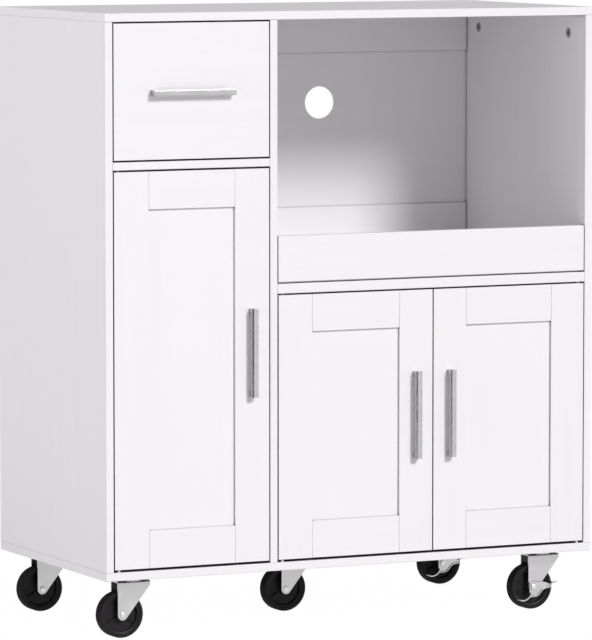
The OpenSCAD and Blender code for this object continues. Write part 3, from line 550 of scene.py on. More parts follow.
@dataclass(frozen=True)
class Palette:
    """Every finish of the cart, built once.

    Attributes:
        upright: Boards with an upright grain.
        level: Boards with a grain across the cart.
        stile: Stiles of the doors.
        rail: Rails of the doors, and the drawer's front.
        plain: Recessed panels of the doors.
        backing: Thin back panels, and the drawer's bottom.
        level_handle: The handle that lies level.
        upright_handle: The handles that stand upright.
        zinc: Caster plates, forks and brake levers.
        rivet: Rivets, screws, pins and balls.
        runner: Drawer runners and strikes.
        cam: Cam discs with their bolts.
        nylon: Bushes and catches.
        wheel: Wheels.
        tread: Treads of the wheels.
        beech: Dowels.
    """

    # Every melamine finish paints shade into its seams and gaps.
    upright: Material = coat(Melamine("melamine_upright", Grain.UP))
    level: Material = coat(Melamine("melamine_level", Grain.ACROSS))
    # Stiles and rails paint no shade on their faces to the front, only in their gaps.
    stile: Material = coat(Melamine("melamine_stile", Grain.UP, front_unshaded=True))
    rail: Material = coat(Melamine("melamine_rail", Grain.ACROSS, front_unshaded=True))
    # The panels get painted shade in a narrow band along the recess.
    plain: Material = coat(Melamine(
        "melamine_door_panel", Grain.UP, tone=0.012, depth=0.05, seam_shade_rest=0.45, reach=3.0,
    ))
    # Backing sheets get painted shade in their seams.
    backing: Material = coat(Melamine(
        "backing_sheet", Grain.ACROSS, tone=0.02, depth=0.07, roughness=0.5, seam_shade_rest=0.4,
    ))
    level_handle: Material = coat(Metal(
        "satin_level", (0.54, 0.53, 0.54), 0.24, Grain.ACROSS.stretch(6.0, 900.0), 0.001, 0.03,
    ))
    upright_handle: Material = coat(Metal(
        "satin_upright", (0.54, 0.53, 0.54), 0.24, Grain.UP.stretch(6.0, 900.0), 0.001, 0.03,
    ))
    # Zinc gets painted shade in its gaps, as between a fork and its plate.
    zinc: Material = coat(Metal(
        "pressed_zinc", (0.57, 0.56, 0.57), 0.30, Grain.UP.stretch(16.0, 420.0), 0.015,
        seam_shade_rest=0.06,
    ))
    rivet: Material = coat(Metal("rivet_steel", (0.70, 0.69, 0.70), 0.30))
    runner: Material = coat(Metal(
        "runner_steel", (0.56, 0.56, 0.58), 0.33, Grain.DEEP.stretch(40.0, 900.0),
    ))
    # Cams get painted shade in their bores.
    cam: Material = coat(Metal(
        "cam_casting", (0.44, 0.44, 0.45), 0.45, (700.0, 700.0, 700.0), 0.08,
        seam_shade_rest=0.05, reach=4.0,
    ))
    nylon: Material = coat(Moulding("white_nylon", (0.80, 0.79, 0.77), 0.45))
    wheel: Material = coat(Moulding("black_wheel", (0.0165, 0.0150, 0.0165), 0.36, 0.015, 0.14))
    tread: Material = coat(Moulding("black_tread", (0.0155, 0.0140, 0.0155), 0.6, 0.02, 0.02))
    beech: Material = coat(Beech("beech_dowel"))


# ---- Pieces -------------------------------------------------------------------------------


def unique(parts: Iterable[Part]) -> list[Part]:
    """Return each part once, in the order in which it comes, so that every run is the same."""
    return list(dict.fromkeys(parts))


class Piece:
    """A mesh under construction, in carcass millimetres.

    Attributes:
        NEAR: Distance under which two places are one.
        WELD: The same on a CAD node, whose figures are rounded.
        LEVEL_ANGLE: Angle up to which a CAD node's faces are one, in degrees.
        EASED_ANGLE: Angle from which its edges are eased.
        SHARP_ANGLE: Angle from which an edge is shaded as sharp.
    """

    NEAR: float = 1e-4
    WELD: float = 0.002
    LEVEL_ANGLE: float = 0.4
    EASED_ANGLE: float = 35.0
    SHARP_ANGLE: float = 50.0

    def __init__(self, name: str, *finishes: Material) -> None:
        """Start an empty mesh.

        Args:
            name: Name of the finished piece.
            *finishes: Its materials; a part of the mesh is given its finish by number.
        """
        self.name = name
        self.finishes = finishes
        self.bm = bmesh.new()

    def block(self, low: Point, high: Point) -> list[BMFace]:
        """Add a block.

        Args:
            low: Its lowest corner.
            high: Its highest corner.

        Returns:
            Its faces.
        """
        verts = bmesh.ops.create_cube(self.bm, size=1.0)["verts"]
        lowest, highest = Vector(low), Vector(high)
        bmesh.ops.scale(self.bm, vec=highest - lowest, verts=verts)
        bmesh.ops.translate(self.bm, vec=(highest + lowest) / 2, verts=verts)
        return self.dress(verts, 0)

    def plate(self, outline: Sequence[Point], thickness: Point, finish: int) -> list[BMFace]:
        """Add a plate: a flat outline drawn out by a vector.

        Args:
            outline: Corners of the outline.
            thickness: Vector by which it is drawn out.
            finish: Number of its finish.

        Returns:
            Its faces.
        """
        face = self.bm.faces.new([self.bm.verts.new(p) for p in outline])
        made = bmesh.ops.extrude_face_region(self.bm, geom=[face])["geom"]
        moved = [part for part in made if isinstance(part, BMVert)]
        bmesh.ops.translate(self.bm, vec=thickness, verts=moved)
        return self.dress([*face.verts, *moved], finish)

    def turning(
        self, profile: Sequence[Flat], centre: Point, steps: int, closed: bool = False,
        finish: int = 0,
    ) -> list[BMFace]:
        """Add a form that is turned about an axis from front to back.

        Args:
            profile: Points as radius and distance along the axis.
            centre: Origin of the profile.
            steps: Number of steps in the turn.
            closed: Whether the profile's ends join, as on a ring.
            finish: Number of its finish.

        Returns:
            Its faces.
        """
        along = Vector((0.0, 1.0, 0.0))
        out = along.orthogonal().normalized()
        origin = Vector(centre)
        verts = [self.bm.verts.new(origin + out * r + along * h) for r, h in profile]
        ends = verts[1:] + verts[:1] if closed else verts[1:]
        edges = [self.bm.edges.new(pair) for pair in zip(verts, ends)]
        bmesh.ops.spin(
            self.bm, geom=verts + edges, cent=origin, axis=along, dvec=(0, 0, 0),
            angle=math.tau, steps=steps, use_merge=True,
        )
        turned = self.joined_to(verts)
        bmesh.ops.remove_doubles(self.bm, verts=turned, dist=self.NEAR)
        return self.dress([vert for vert in turned if vert.is_valid], finish)

    def joined_to(self, verts: Iterable[BMVert]) -> list[BMVert]:
        """Return some vertices and every one that edges join to them.

        Args:
            verts: The vertices to start from.

        Returns:
            All of them, each once.
        """
        seen = dict.fromkeys(verts)
        waiting = list(seen)
        while waiting:
            for edge in waiting.pop().link_edges:
                for vert in edge.verts:
                    if vert not in seen:
                        seen[vert] = None
                        waiting.append(vert)
        return list(seen)

    def borrow(self, node: str, width: float, least: float = 0.0) -> None:
        """Start from a merged copy of a CAD node's shape, with its sharp edges eased.

        Args:
            node: Name of the node.
            width: Width of the easing; none where it is 0.
            least: Length of the shortest edge that is eased.
        """
        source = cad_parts[node]
        self.bm.from_mesh(source.data)
        self.move(CART.to_frame().inverted() @ source.matrix_world)
        bmesh.ops.remove_doubles(self.bm, verts=self.bm.verts, dist=self.WELD)
        bmesh.ops.dissolve_limit(
            self.bm, angle_limit=math.radians(self.LEVEL_ANGLE), verts=self.bm.verts,
            edges=self.bm.edges, use_dissolve_boundaries=False, delimit=set(),
        )
        if width > 0.0:
            self.round_edges(self.bm.faces, width, over=self.EASED_ANGLE, least=least)
        self.dress(self.bm.verts, 0)

    def dress(self, verts: Iterable[BMVert], finish: int) -> list[BMFace]:
        """Give the faces at some vertices a finish.

        Args:
            verts: The vertices.
            finish: Number of the finish.

        Returns:
            The faces.
        """
        faces = unique(face for vert in verts for face in vert.link_faces)
        for face in faces:
            face.material_index = finish
        return faces

    def edges_at(self, faces: Iterable[BMFace], y: float, least: float = 0.0) -> list[BMEdge]:
        """Return the edges of some faces that lie in a plane across the cart's depth.

        Args:
            faces: The faces.
            y: Place of the plane.
            least: Length that an edge has to pass.

        Returns:
            The edges.
        """
        edges = unique(edge for face in faces for edge in face.edges)
        return [
            edge for edge in edges
            if edge.calc_length() > least and all(abs(v.co.y - y) < self.NEAR for v in edge.verts)
        ]

    def round_edges(
        self, faces: Iterable[BMFace], width: float, segments: int = 2, over: float = 40.0,
        least: float = 0.0,
    ) -> None:
        """Round the sharp edges of some faces.

        Args:
            faces: Faces whose edges are rounded.
            width: Width of the rounding.
            segments: Number of its facets.
            over: Least angle between two faces that counts as sharp, in degrees.
            least: Length of the shortest edge that is rounded.
        """
        edges = unique(edge for face in faces for edge in face.edges if edge.is_manifold)
        sharp = [
            edge for edge in edges
            if edge.calc_length() >= least and edge.calc_face_angle(0.0) > math.radians(over)
        ]
        self.bevel(sharp, width, segments)

    def bevel(self, edges: Sequence[BMEdge], width: float, segments: int = 1) -> None:
        """Bevel some edges."""
        bmesh.ops.bevel(
            self.bm, geom=edges, offset=width, offset_type="OFFSET", segments=segments,
            profile=0.5, affect="EDGES", material=-1, clamp_overlap=True,
        )

    def move(self, matrix: Matrix) -> None:
        """Move the whole mesh so far."""
        bmesh.ops.transform(self.bm, matrix=matrix, verts=self.bm.verts)

    def finish(self, body: str, slot: str, *nodes: str) -> None:
        """Make the object, and let it ride on its body.

        Args:
            body: CAD body that it moves with.
            slot: Not used.
            *nodes: CAD nodes that it stands for.
        """
        self.move(CART.to_frame())
        bmesh.ops.recalc_face_normals(self.bm, faces=self.bm.faces)
        for face in self.bm.faces:
            face.smooth = True
        mesh = bpy.data.meshes.new(self.name)
        self.bm.to_mesh(mesh)
        self.bm.free()
        for material in self.finishes:
            mesh.materials.append(material)
        mesh.set_sharp_from_angle(angle=math.radians(self.SHARP_ANGLE))
        made = bpy.data.objects.new(self.name, mesh)
        bpy.context.scene.collection.objects.link(made)
        weights = made.modifiers.new("even_normals", "WEIGHTED_NORMAL")
        weights.keep_sharp = True
        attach(made, body)
        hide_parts(*nodes)
        LOG.info("piece %s: %d faces on %s", self.name, len(mesh.polygons), body)


def ease_node(
    node: str, body: str, slot: str, material: Material, width: float, least: float = 0.0,
) -> None:
    """Show a CAD node with its sharp edges eased, as tumbled or moulded parts have them.

    Args:
        node: Name of the node.
        body: CAD body that it moves with.
        slot: Name of a material slot, which is passed on to Piece.finish.
        material: Its finish.
        width: Width of the easing.
        least: Length of the shortest edge that is eased.
    """
    piece = Piece(f"{node}_eased", material)
    piece.borrow(node, width, least)
    piece.finish(body, slot, node)


def dress_node(node: str, material: Material) -> None:
    """Give a CAD node a finish on its own mesh.

    Args:
        node: Name of the node.
        material: Its finish.
    """
    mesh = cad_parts[node].data
    mesh.materials.clear()
    mesh.materials.append(material)
    LOG.info("node %s: %s", node, material.name)


# ---- Carcass ------------------------------------------------------------------------------


@dataclass
class Carcass:
    """The fixed boards and their fittings.

    Attributes:
        finishes: The cart's finishes.
        uprights: Boards that stand from front to back.
        levels: Boards that run across the cart.
        backs: Thin panels behind the boards.
        easing: Width of a board's eased edges.
        least: Length of the shortest edge that is eased on a board, longer than a bore's facets.
    """

    finishes: Palette
    uprights: tuple[str, ...] = ("left_side_panel", "right_side_panel", "divider_panel")
    levels: tuple[str, ...] = (
        "top_panel", "bottom_panel", "microwave_shelf", "drawer_support", "shelf_lip",
        "back_rails", "left_cupboard_shelf", "right_cupboard_shelf",
    )
    backs: tuple[str, ...] = ("bay_back_panel", "left_back_panel", "cupboard_back_panel")
    easing: float = 0.45
    least: float = 12.0

    def build(self) -> None:
        """Dress the boards and build the fittings."""
        finishes = self.finishes
        for nodes, material in ((self.uprights, finishes.upright), (self.levels, finishes.level)):
            for node in nodes:
                ease_node(node, "carcass", "white_board", material, self.easing, self.least)
        for node in self.backs:
            dress_node(node, finishes.backing)
        self.build_fittings()

    def build_fittings(self) -> None:
        """Build what joins the boards and what the doors and the drawer run in."""
        finishes = self.finishes
        for node, slot, material, width in (
            ("shelf_pins", "small_steel", finishes.rivet, 0.4),
            ("cam_locks", "cam_zinc", finishes.cam, 0.2),
            ("pivot_bushes", "white_nylon", finishes.nylon, 0.15),
            ("door_catches", "white_nylon", finishes.nylon, 0.5),
            ("cabinet_runners", "runner_steel", finishes.runner, 0.1),
            ("caster_plates", "caster_steel", finishes.zinc, 0.4),
        ):
            ease_node(node, "carcass", slot, material, width)
        ease_node("runner_ball_cages", "ball_cages", "runner_steel", finishes.rivet, 0.0)
        dress_node("dowels", finishes.beech)
        dress_node("caster_screws", finishes.rivet)


# ---- Handles ------------------------------------------------------------------------------


@dataclass(frozen=True)
class PanScrew:
    """A screw that holds a handle's foot from behind its front.

    Attributes:
        bite: Depth to which it goes into the foot.
        shank_r: Radius of its shank.
        head_r: Radius of its head.
        head_edge: Height of the head's edge.
        head_dome: Height of the dome on it.
        steps: Number of steps in a turn.
    """

    bite: float = 5.9
    shank_r: float = 2.0
    head_r: float = 4.0
    head_edge: float = 0.8
    head_dome: float = 1.2
    steps: int = 24

    def add_to(self, piece: Piece, along: float, board: float) -> None:
        """Add the screw to a handle that lies level, with its head on the front's back face.

        Args:
            piece: The handle; the screw takes its second finish.
            along: Place of the screw along the handle.
            board: Thickness of the front.
        """
        profile = [(0.0, -self.bite), (self.shank_r, -self.bite), (self.shank_r, board)]
        profile += [(self.head_r, board)]
        crown = dome(self.head_r, self.head_dome)
        profile += [(r, board + self.head_edge + h) for r, h in crown]
        piece.turning(profile, (along, 0.0, 0.0), self.steps, finish=1)


@dataclass
class BarHandle:
    """A bar on two feet, with a bevel along its long front edges.

    Attributes:
        finishes: The cart's finishes.
        name: Name of the piece.
        node: CAD node that it stands for.
        body: Body that it rides on.
        centre: Its centre on the front's face.
        upright: Whether it stands upright.
        length: Length of the bar.
        width: Width of the bar.
        reach: Distance that it stands out from the front.
        bar: Thickness of the bar.
        foot: Length of a foot along the bar.
        foot_width: Width of a foot.
        bury: Depth to which a foot runs into the bar.
        bevel: Width of the bevel.
        rounding: Width of the other edges' rounding.
        board: Thickness of the front behind it.
        screw: The screw behind each foot.
    """

    finishes: Palette
    name: str
    node: str
    body: str
    centre: Point
    upright: bool
    length: float = 130.5
    width: float = 10.0
    reach: float = 13.5
    bar: float = 7.0
    foot: float = 9.0
    foot_width: float = 9.8
    bury: float = 0.4
    bevel: float = 2.0
    rounding: float = 0.2
    board: float = 15.0
    screw: PanScrew = PanScrew()

    def build(self) -> None:
        """Build the bar, its feet, and the two screws that hold it from behind."""
        satin = self.finishes.upright_handle if self.upright else self.finishes.level_handle
        piece = Piece(self.name, satin, self.finishes.rivet)
        self.build_bar(piece)
        half, side = self.length / 2, self.foot_width / 2
        for inner, outer in ((-half, self.foot - half), (half - self.foot, half)):
            foot = piece.block(
                (inner, self.bar - self.reach - self.bury, -side), (outer, 0.0, side)
            )
            piece.round_edges(foot, self.rounding)
        for way in (-1, 1):
            self.screw.add_to(piece, way * (half - self.foot / 2), self.board)
        turn = Matrix.Rotation(math.radians(90.0 if self.upright else 0.0), 4, "Y")
        piece.move(Matrix.Translation(self.centre) @ turn)
        piece.finish(self.body, "handle_metal", self.node)

    def build_bar(self, piece: Piece) -> None:
        """Add the bar, bevelled along its two long front edges.

        Args:
            piece: The handle.
        """
        half, side = self.length / 2, self.width / 2
        bar = piece.block((-half, -self.reach, -side), (half, self.bar - self.reach, side))
        piece.bevel(piece.edges_at(bar, -self.reach, least=self.width + 1.0), self.bevel)
        piece.round_edges(piece.bm.faces, self.rounding)


# ---- Fronts -------------------------------------------------------------------------------


@dataclass
class Drawer:
    """The drawer: front, box, bottom, handle and runners.

    Attributes:
        finishes: The cart's finishes.
        left: Left edge of its front.
        right: Right edge of its front.
        low: Lower edge of its front.
        high: Upper edge of its front.
        thickness: Thickness of its front.
        rounding: Width of the front's rounded edges.
        handle_drop: Distance of the handle below the front's middle.
        box_easing: Width of the box's eased edges.
        runner_easing: Width of the runners' eased edges.
    """

    finishes: Palette
    left: float = 13.6
    right: float = 261.4
    low: float = 610.8
    high: float = 808.3
    thickness: float = 15.0
    rounding: float = 0.6
    handle_drop: float = 2.0
    box_easing: float = 0.8
    runner_easing: float = 0.1

    def build(self) -> None:
        """Build the front and its handle, and dress the box."""
        finishes = self.finishes
        front = Piece("drawer_face", finishes.rail)
        faces = front.block((self.left, 0.0, self.low), (self.right, self.thickness, self.high))
        front.round_edges(faces, self.rounding, 3)
        front.finish("drawer", "front_board", "drawer_front")
        centre = ((self.left + self.right) / 2, 0.0, (self.low + self.high) / 2 - self.handle_drop)
        BarHandle(finishes, "drawer_bar", "drawer_handle", "drawer", centre, upright=False).build()
        ease_node("drawer_box_boards", "drawer", "white_board", finishes.level, self.box_easing)
        dress_node("drawer_bottom", finishes.backing)
        ease_node("drawer_runners", "drawer", "runner_steel", finishes.runner, self.runner_easing)


class Hinge(Enum):
    """Side on which a door turns; the value leads from the free edge back to the hinge."""

    LEFT = -1
    RIGHT = 1


@dataclass
class Door:
    """A door: stiles, rails, recessed panel, handle, pivots and strike.

    Attributes:
        finishes: The cart's finishes.
        name: Name of the door's body without its ending.
        left: Its left edge.
        width: Its width.
        high: Its upper edge.
        handle_height: Height of its handle's centre.
        hinge: Side on which it turns.
        low: Its lower edge.
        thickness: Thickness of its frame.
        member: Width of a stile or rail.
        recess: Depth of the panel behind the frame's face.
        panel: Thickness of the panel's place.
        groove: Depth of the groove that holds the panel.
        joint: Gap between a stile and the end of a rail.
        play: Gap between the panel and the groove's floor.
        slip: Gap between the panel and the groove's sides.
        easing: Width of the frame's eased front edges.
        handle_inset: Distance of the handle's middle from the free edge.
        pivot_easing: Width of the pivots' eased edges.
        strike_easing: Width of the strike's eased edges.
    """

    finishes: Palette
    name: str
    left: float
    width: float
    high: float
    handle_height: float
    hinge: Hinge
    low: float = 16.0
    thickness: float = 15.0
    member: float = 55.0
    recess: float = 4.0
    panel: float = 5.0
    groove: float = 6.0
    joint: float = 0.15
    play: float = 0.3
    slip: float = 0.02
    easing: float = 0.45
    handle_inset: float = 27.8
    pivot_easing: float = 0.3
    strike_easing: float = 0.2

    @property
    def body(self) -> str:
        """Name of the door's body."""
        return f"{self.name}_door"

    @property
    def right(self) -> float:
        """Right edge of the door."""
        return self.left + self.width

    def build(self) -> None:
        """Build the door's pieces."""
        finishes, body = self.finishes, self.body
        self.build_frame()
        self.build_panel()
        free = self.right if self.hinge is Hinge.LEFT else self.left
        centre = (free + self.hinge.value * self.handle_inset, 0.0, self.handle_height)
        BarHandle(finishes, f"{body}_bar", f"{body}_handle", body, centre, upright=True).build()
        ease_node(f"{body}_pivots", body, "small_steel", finishes.rivet, self.pivot_easing)
        ease_node(f"{body}_strike", body, "small_steel", finishes.runner, self.strike_easing)

    def build_frame(self) -> None:
        """Build two stiles over the whole height and two rails between them."""
        piece = Piece(f"{self.body}_stiles_rails", self.finishes.stile, self.finishes.rail)
        member = self.member
        for outer, inner in ((self.left, self.left + member), (self.right, self.right - member)):
            outline = [(x, y, self.low) for x, y in self.section(outer, inner)]
            self.draw_out(piece, outline, (0.0, 0.0, self.high - self.low), 0)
        start = self.left + member + self.joint
        length = self.width - 2 * (member + self.joint)
        for outer, inner in ((self.low, self.low + member), (self.high, self.high - member)):
            outline = [(start, y, z) for z, y in self.section(outer, inner)]
            self.draw_out(piece, outline, (length, 0.0, 0.0), 1)
        piece.finish(self.body, "front_board", f"{self.body}_frame")

    def section(self, outer: float, inner: float) -> list[Flat]:
        """Return the section of a stile or rail, with the groove for the panel.

        Args:
            outer: Its edge on the door's outside.
            inner: Its edge beside the panel.

        Returns:
            Points as the place across the member and the depth behind the door's face.
        """
        floor = inner - math.copysign(self.groove, inner - outer)
        back = self.recess + self.panel
        return [
            (outer, 0.0), (inner, 0.0), (inner, self.recess), (floor, self.recess),
            (floor, back), (inner, back), (inner, self.thickness), (outer, self.thickness),
        ]

    def draw_out(self, piece: Piece, outline: list[Point], length: Point, finish: int) -> None:
        """Add a member of the frame, with its front edges eased.

        Args:
            piece: The frame.
            outline: The member's section in its place.
            length: Vector from one end of the member to the other.
            finish: Number of its finish.
        """
        faces = piece.plate(outline, length, finish)
        piece.bevel(piece.edges_at(faces, 0.0), self.easing, 2)

    def build_panel(self) -> None:
        """Build the panel that lies recessed in the frame."""
        piece = Piece(f"{self.body}_field", self.finishes.plain)
        inset = self.member - self.groove + self.play
        front, back = self.recess + self.slip, self.recess + self.panel - self.slip
        low = (self.left + inset, front, self.low + inset)
        piece.block(low, (self.right - inset, back, self.high - inset))
        piece.finish(self.body, "front_board", f"{self.body}_panel")


# ---- Casters ------------------------------------------------------------------------------


@dataclass
class Caster:
    """A swivel caster: fork, wheel, axle rivet and, on two of them, a brake.

    Attributes:
        finishes: The cart's finishes.
        name: Name of its place under the cart.
        x: Swivel axis, across the cart.
        y: Swivel axis, from the front.
        braked: Whether it has a brake.
        trail: Distance of the axle from the swivel axis.
        axle_z: Height of the axle.
        axle_r: Radius of the axle.
        leg_half: Half of the fork's width over its legs.
        brake_stack: Thickness that the brake adds in front of a leg.
        head_r: Radius of the rivet's heads.
        head_edge: Height of their edges.
        head_ease: Width of their rounded edges.
        head_dome: Height of the dome on them.
        fork_easing: Width of the fork's eased edges.
        brake_easing: Width of the brake lever's eased edges.
        wheel_r: Radius of the wheel.
        wheel_half: Half of the wheel's width at its tread.
        tread: Depth of the tread.
        edge: Radius of the tread's rounded edges.
        rim: Width of the rim.
        bore_r: Radius of the bore.
        hub_r: Radius of the hub.
        hub_half: Half of the hub's width.
        web_half: Half of the web's thickness.
        step_r: Radius at which the web ends.
        ribs: Angles of the web's ribs.
        rib_low: Lowest corner of a rib, before it is turned to its angle.
        rib_high: Its highest corner.
        rib_rounding: Width of a rib's rounded edges.
    """

    finishes: Palette
    name: str
    x: float
    y: float
    braked: bool = False
    trail: float = 18.0
    axle_z: float = -56.0
    axle_r: float = 3.0
    leg_half: float = 13.0
    brake_stack: float = 2.4
    head_r: float = 4.5
    head_edge: float = 0.9
    head_ease: float = 0.5
    head_dome: float = 0.5
    fork_easing: float = 0.4
    brake_easing: float = 0.3
    wheel_r: float = 34.0
    wheel_half: float = 9.5
    tread: float = 0.4
    edge: float = 1.0
    rim: float = 5.0
    bore_r: float = 3.05
    hub_r: float = 7.2
    hub_half: float = 10.7
    web_half: float = 3.0
    step_r: float = 24.5
    ribs: tuple[float, ...] = (30.0, 150.0, 270.0)
    rib_low: Point = (7.0, -6.6, -0.9)
    rib_high: Point = (24.8, 6.6, 0.9)
    rib_rounding: float = 0.3

    @property
    def axle(self) -> Point:
        """Middle of the axle."""
        return (self.x - self.trail, self.y, self.axle_z)

    def build(self) -> None:
        """Build the wheel, fork, rivet and brake."""
        name, zinc = self.name, self.finishes.zinc
        self.build_wheel()
        self.build_rivet()
        ease_node(f"{name}_fork", f"{name}_caster", "caster_steel", zinc, self.fork_easing)
        if self.braked:
            lever = f"{name}_brake"
            ease_node(lever, lever, "caster_steel", zinc, self.brake_easing)

    def build_rivet(self) -> None:
        """Turn the rivet that the wheel runs on, with a domed head outside each leg."""
        piece = Piece(f"{self.name}_rivet", self.finishes.rivet)
        front = self.leg_half + (self.brake_stack if self.braked else 0.0)
        radius, edge, ease = self.head_r, self.head_edge, self.head_ease
        head = [(radius, 0.0), (radius, edge - 0.8 * ease)]
        head += [(radius - 0.3 * ease, edge - 0.2 * ease)]
        head += [(r, edge + h) for r, h in dome(radius - ease, self.head_dome)]
        profile = [(r, -front - h) for r, h in reversed(head)]
        profile += [(self.axle_r, -front), (self.axle_r, self.leg_half)]
        profile += [(r, self.leg_half + h) for r, h in head]
        piece.turning(profile, self.axle, steps=32)
        piece.finish(f"{self.name}_caster", "rivet", f"{self.name}_axle")

    def build_wheel(self) -> None:
        """Turn the wheel and add the ribs of its web."""
        piece = Piece(f"{self.name}_roller", self.finishes.wheel, self.finishes.tread)
        faces = piece.turning(self.wheel_profile(), self.axle, steps=96, closed=True)
        axle = Vector(self.axle)
        for face in faces:
            away = face.calc_center_median() - axle
            if math.hypot(away.x, away.z) > self.wheel_r - self.tread:
                face.material_index = 1
        for angle in self.ribs:
            turn = Matrix.Rotation(math.radians(angle), 4, "Y")
            rib = piece.block(self.rib_low, self.rib_high)
            verts = unique(vert for face in rib for vert in face.verts)
            bmesh.ops.transform(piece.bm, matrix=Matrix.Translation(axle) @ turn, verts=verts)
            piece.round_edges(rib, self.rib_rounding)
        piece.finish(f"{self.name}_wheel", "wheel", f"{self.name}_wheel")

    def wheel_profile(self) -> list[Flat]:
        """Return the wheel's closed profile as radius and distance along the axle."""
        hub, web, step, half = self.hub_half, self.web_half, self.step_r, self.wheel_half
        rim = self.wheel_r - self.rim
        side = [(self.bore_r, hub), (self.hub_r, hub), (self.hub_r + 1.0, hub - 1.2)]
        side += [(self.hub_r + 1.4, web + 1.0), (self.hub_r + 2.4, web)]
        side += [(step - 1.0, web), (step, web + 1.0), (step + 0.4, half - 2.6)]
        side += [(step + 1.4, half - 1.6), (rim - 0.6, half - 1.5), (rim, half - 0.9)]
        side += [(rim + 0.4, half)]
        side += arc((self.wheel_r - self.edge, half - self.edge), self.edge, 90.0, 0.0, 6)
        return side + [(r, -h) for r, h in reversed(side)]


# ---- Studio -------------------------------------------------------------------------------


@dataclass(frozen=True)
class Card:
    """A card that only reflections show, so that they aren't plain white all round.

    Attributes:
        name: Name of the card.
        place: Its centre in metres.
        axis: Axis about which it is turned up from level; Z leaves it level.
        half: Half of its width and height in metres.
        grey: How light it is.
    """

    name: str
    place: Point
    axis: str
    half: float
    grey: float

    def build(self, tint: Colour) -> None:
        """Hang the card.

        Args:
            tint: Colour of all light.
        """
        bm = bmesh.new()
        bmesh.ops.create_grid(bm, x_segments=1, y_segments=1, size=self.half)
        turn = Matrix.Translation(self.place) @ Matrix.Rotation(math.pi / 2, 4, self.axis)
        bmesh.ops.transform(bm, matrix=turn, verts=bm.verts)
        work = Paintwork(self.name)
        colour = (*(self.grey * share for share in tint), 1.0)
        glow = work.add("ShaderNodeEmission", {"Color": colour, "Strength": 1.0})
        work.show(glow.outputs["Emission"])
        card = set_up(self.name, bm, work.material)
        card.visible_camera = card.visible_diffuse = card.visible_shadow = False
        card.visible_transmission = False


def set_up(name: str, bm: BMesh, material: Material) -> Object:
    """Make a piece of the studio out of a mesh under construction.

    Args:
        name: Name of the piece.
        bm: Its mesh, which is used up.
        material: Its material.

    Returns:
        The object.
    """
    mesh = bpy.data.meshes.new(name)
    bm.to_mesh(mesh)
    bm.free()
    mesh.materials.append(material)
    made = bpy.data.objects.new(name, mesh)
    bpy.context.scene.collection.objects.link(made)
    return made


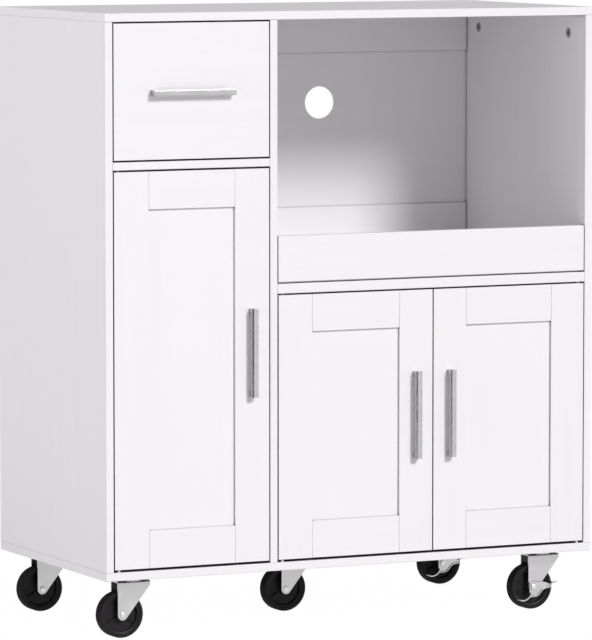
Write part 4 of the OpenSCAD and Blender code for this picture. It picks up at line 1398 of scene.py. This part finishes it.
@dataclass
class Studio:
    """Floor, world, lamps and camera.

    Attributes:
        key: Strength of the lamp that throws the shadows.
        key_spread: Angle over which it shines, in degrees.
        key_place: Its place in metres.
        key_target: Where it points.
        fill: Power of the soft lamp on the left, in watts.
        fill_size: Width and height of the soft lamp in metres.
        fill_place: Its place in metres.
        fill_target: Where it points.
        ambient: Strength of the world.
        tint: Colour of all light.
        cards: Cards that reflections show.
        floor_r: Radius of the floor in metres.
        floor_greys: How light the floor is near the cart, and far from it.
        floor_span: Distances in metres between which it gets lighter.
        shade: How white the camera sees the floor near the cart, against its light.
        shade_span: Distances in metres between which it becomes plain white.
        eye: Place of the camera in metres.
        tilt: Its angle from straight down, in degrees.
        turn: Its angle about the vertical, in degrees.
        lens: Its focal length in millimetres.
        sensor: Width of its picture in millimetres.
    """

    key: float = 2.155
    key_spread: float = 14.0
    key_place: Point = (1.83, -5.0, 3.775)
    key_target: Point = (0.0, 0.0, 0.45)
    fill: float = 61.0
    fill_size: Flat = (3.0, 2.4)
    fill_place: Point = (-4.0, 0.0, 0.75)
    fill_target: Point = (0.0, 0.0, 0.33)
    ambient: float = 0.347
    tint: Colour = (1.0, 0.982, 1.0)
    cards: tuple[Card, ...] = (
        Card("left_card", (-1.6, -1.5, 0.9), "Y", 1.6, 0.12),
        Card("rear_card", (2.2, 4.5, 3.0), "X", 4.5, 0.2),
        Card("top_card", (1.0, -0.4, 3.0), "Z", 0.9, 2.4),
    )
    floor_r: float = 60.0
    floor_greys: Flat = (0.64, 0.86)
    floor_span: Flat = (0.4, 2.2)
    shade: float = 0.992
    shade_span: Flat = (0.5, 1.4)
    eye: Point = (-3.3942, -7.0265, 1.1376)
    tilt: float = 84.894
    turn: float = -25.771
    lens: float = 291.8
    sensor: float = 36.0

    def build(self) -> None:
        """Build the whole studio."""
        self.build_floor()
        self.build_world()
        self.build_lamps()
        for card in self.cards:
            card.build(self.tint)
        self.build_camera()
        bpy.context.scene.view_settings.view_transform = "Standard"

    def build_floor(self) -> None:
        """Build a pale floor that shows white to the camera and keeps a faint shadow."""
        bm = bmesh.new()
        bmesh.ops.create_circle(bm, cap_ends=True, radius=self.floor_r, segments=96)
        set_up("studio_floor", bm, self.floor_material())

    def floor_material(self) -> Material:
        """Return the floor's material: lit near the cart, plain white around and in reflections."""
        work = Paintwork("studio_floor")
        length = work.add("ShaderNodeVectorMath", {0: work.place}, operation="LENGTH")
        away = length.outputs["Value"]
        dark, light = ((grey,) * 3 for grey in self.floor_greys)
        work.feed("Base Color", work.blend(work.remap(away, self.floor_span), dark, light))
        work.feed("Roughness", 0.9)
        glow = work.add("ShaderNodeEmission", {"Color": WHITE, "Strength": 1.0})
        rays = work.add("ShaderNodeLightPath").outputs
        near = work.remap(away, self.shade_span, (self.shade, 1.0))
        seen = work.calculate("MULTIPLY", rays["Is Camera Ray"], near)
        shown = work.either(seen, rays["Is Glossy Ray"], rays["Is Transmission Ray"])
        work.show(work.swap(shown, work.shader.outputs["BSDF"], glow.outputs["Emission"]))
        return work.material

    def build_world(self) -> None:
        """Build a world that lights evenly and shows white to the camera and in reflections."""
        world = bpy.data.worlds.new("studio_world")
        bpy.context.scene.world = world
        world.use_nodes = True
        sky = Wiring(world.node_tree)
        tint = (*self.tint, 1.0)
        light = sky.add("ShaderNodeBackground", {"Color": tint, "Strength": self.ambient})
        white = sky.add("ShaderNodeBackground", {"Color": WHITE, "Strength": 1.0})
        rays = sky.add("ShaderNodeLightPath").outputs
        shown = sky.either(
            rays["Is Camera Ray"], rays["Is Glossy Ray"], rays["Is Transmission Ray"]
        )
        surface = sky.swap(shown, light.outputs["Background"], white.outputs["Background"])
        sky.add("ShaderNodeOutputWorld", {"Surface": surface})

    def build_lamps(self) -> None:
        """Add the lamp that throws the shadows and the soft one on the left."""
        key = bpy.data.lights.new("key", "SUN")
        key.energy = self.key
        key.angle = math.radians(self.key_spread)
        self.hang(key, self.key_place, self.key_target)
        fill = bpy.data.lights.new("fill", "AREA")
        fill.shape = "RECTANGLE"
        fill.size, fill.size_y = self.fill_size
        fill.energy = self.fill
        self.hang(fill, self.fill_place, self.fill_target).visible_glossy = False

    def hang(self, lamp: Light, place: Point, target: Point) -> Object:
        """Tint a lamp and hang it.

        Args:
            lamp: The lamp.
            place: Where it hangs.
            target: Where it points.

        Returns:
            Its object.
        """
        lamp.color = self.tint
        made = bpy.data.objects.new(lamp.name, lamp)
        bpy.context.scene.collection.objects.link(made)
        made.location = place
        aim = Vector(target) - Vector(place)
        made.rotation_euler = aim.to_track_quat("-Z", "Y").to_euler()
        return made

    def build_camera(self) -> None:
        """Set the camera at the photograph's place."""
        data = bpy.data.cameras.new("view")
        data.lens = self.lens
        data.sensor_width = self.sensor
        data.clip_end = 200.0
        camera = bpy.data.objects.new("view", data)
        bpy.context.scene.collection.objects.link(camera)
        camera.location = self.eye
        camera.rotation_euler = (math.radians(self.tilt), 0.0, math.radians(self.turn))
        bpy.context.scene.camera = camera


# ---- Whole cart ---------------------------------------------------------------------------


def doors(finishes: Palette) -> list[Door]:
    """Return the left column's door and the pair under the bay.

    Args:
        finishes: The cart's finishes.

    Returns:
        The three doors.
    """
    column = {"high": 594.1, "handle_height": 324.5}
    cupboard = {"high": 406.9, "handle_height": 221.0}
    return [
        Door(finishes, "left", left=13.6, width=247.8, hinge=Hinge.LEFT, **column),
        Door(finishes, "centre", left=276.7, width=253.9, hinge=Hinge.LEFT, **cupboard),
        Door(finishes, "right", left=532.4, width=254.1, hinge=Hinge.RIGHT, **cupboard),
    ]


def casters(finishes: Palette) -> list[Caster]:
    """Return the casters, the two on the right with brakes.

    Args:
        finishes: The cart's finishes.

    Returns:
        The five casters.
    """
    left, right, front, rear = 60.0, 740.0, 50.0, 350.0
    return [
        Caster(finishes, "front_left", left, front),
        Caster(finishes, "rear_left", left, rear),
        Caster(finishes, "centre", x=393.0, y=192.0),
        Caster(finishes, "rear_right", right, rear, braked=True),
        Caster(finishes, "front_right", right, front, braked=True),
    ]


def main() -> None:
    """Build the cart and the studio."""
    logging.basicConfig(level=logging.INFO, format="%(name)s: %(message)s")
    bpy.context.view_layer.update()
    finishes = Palette()
    Carcass(finishes).build()
    Drawer(finishes).build()
    for part in (*doors(finishes), *casters(finishes)):
        part.build()
    Studio().build()


if __name__ == "__main__":
    main()
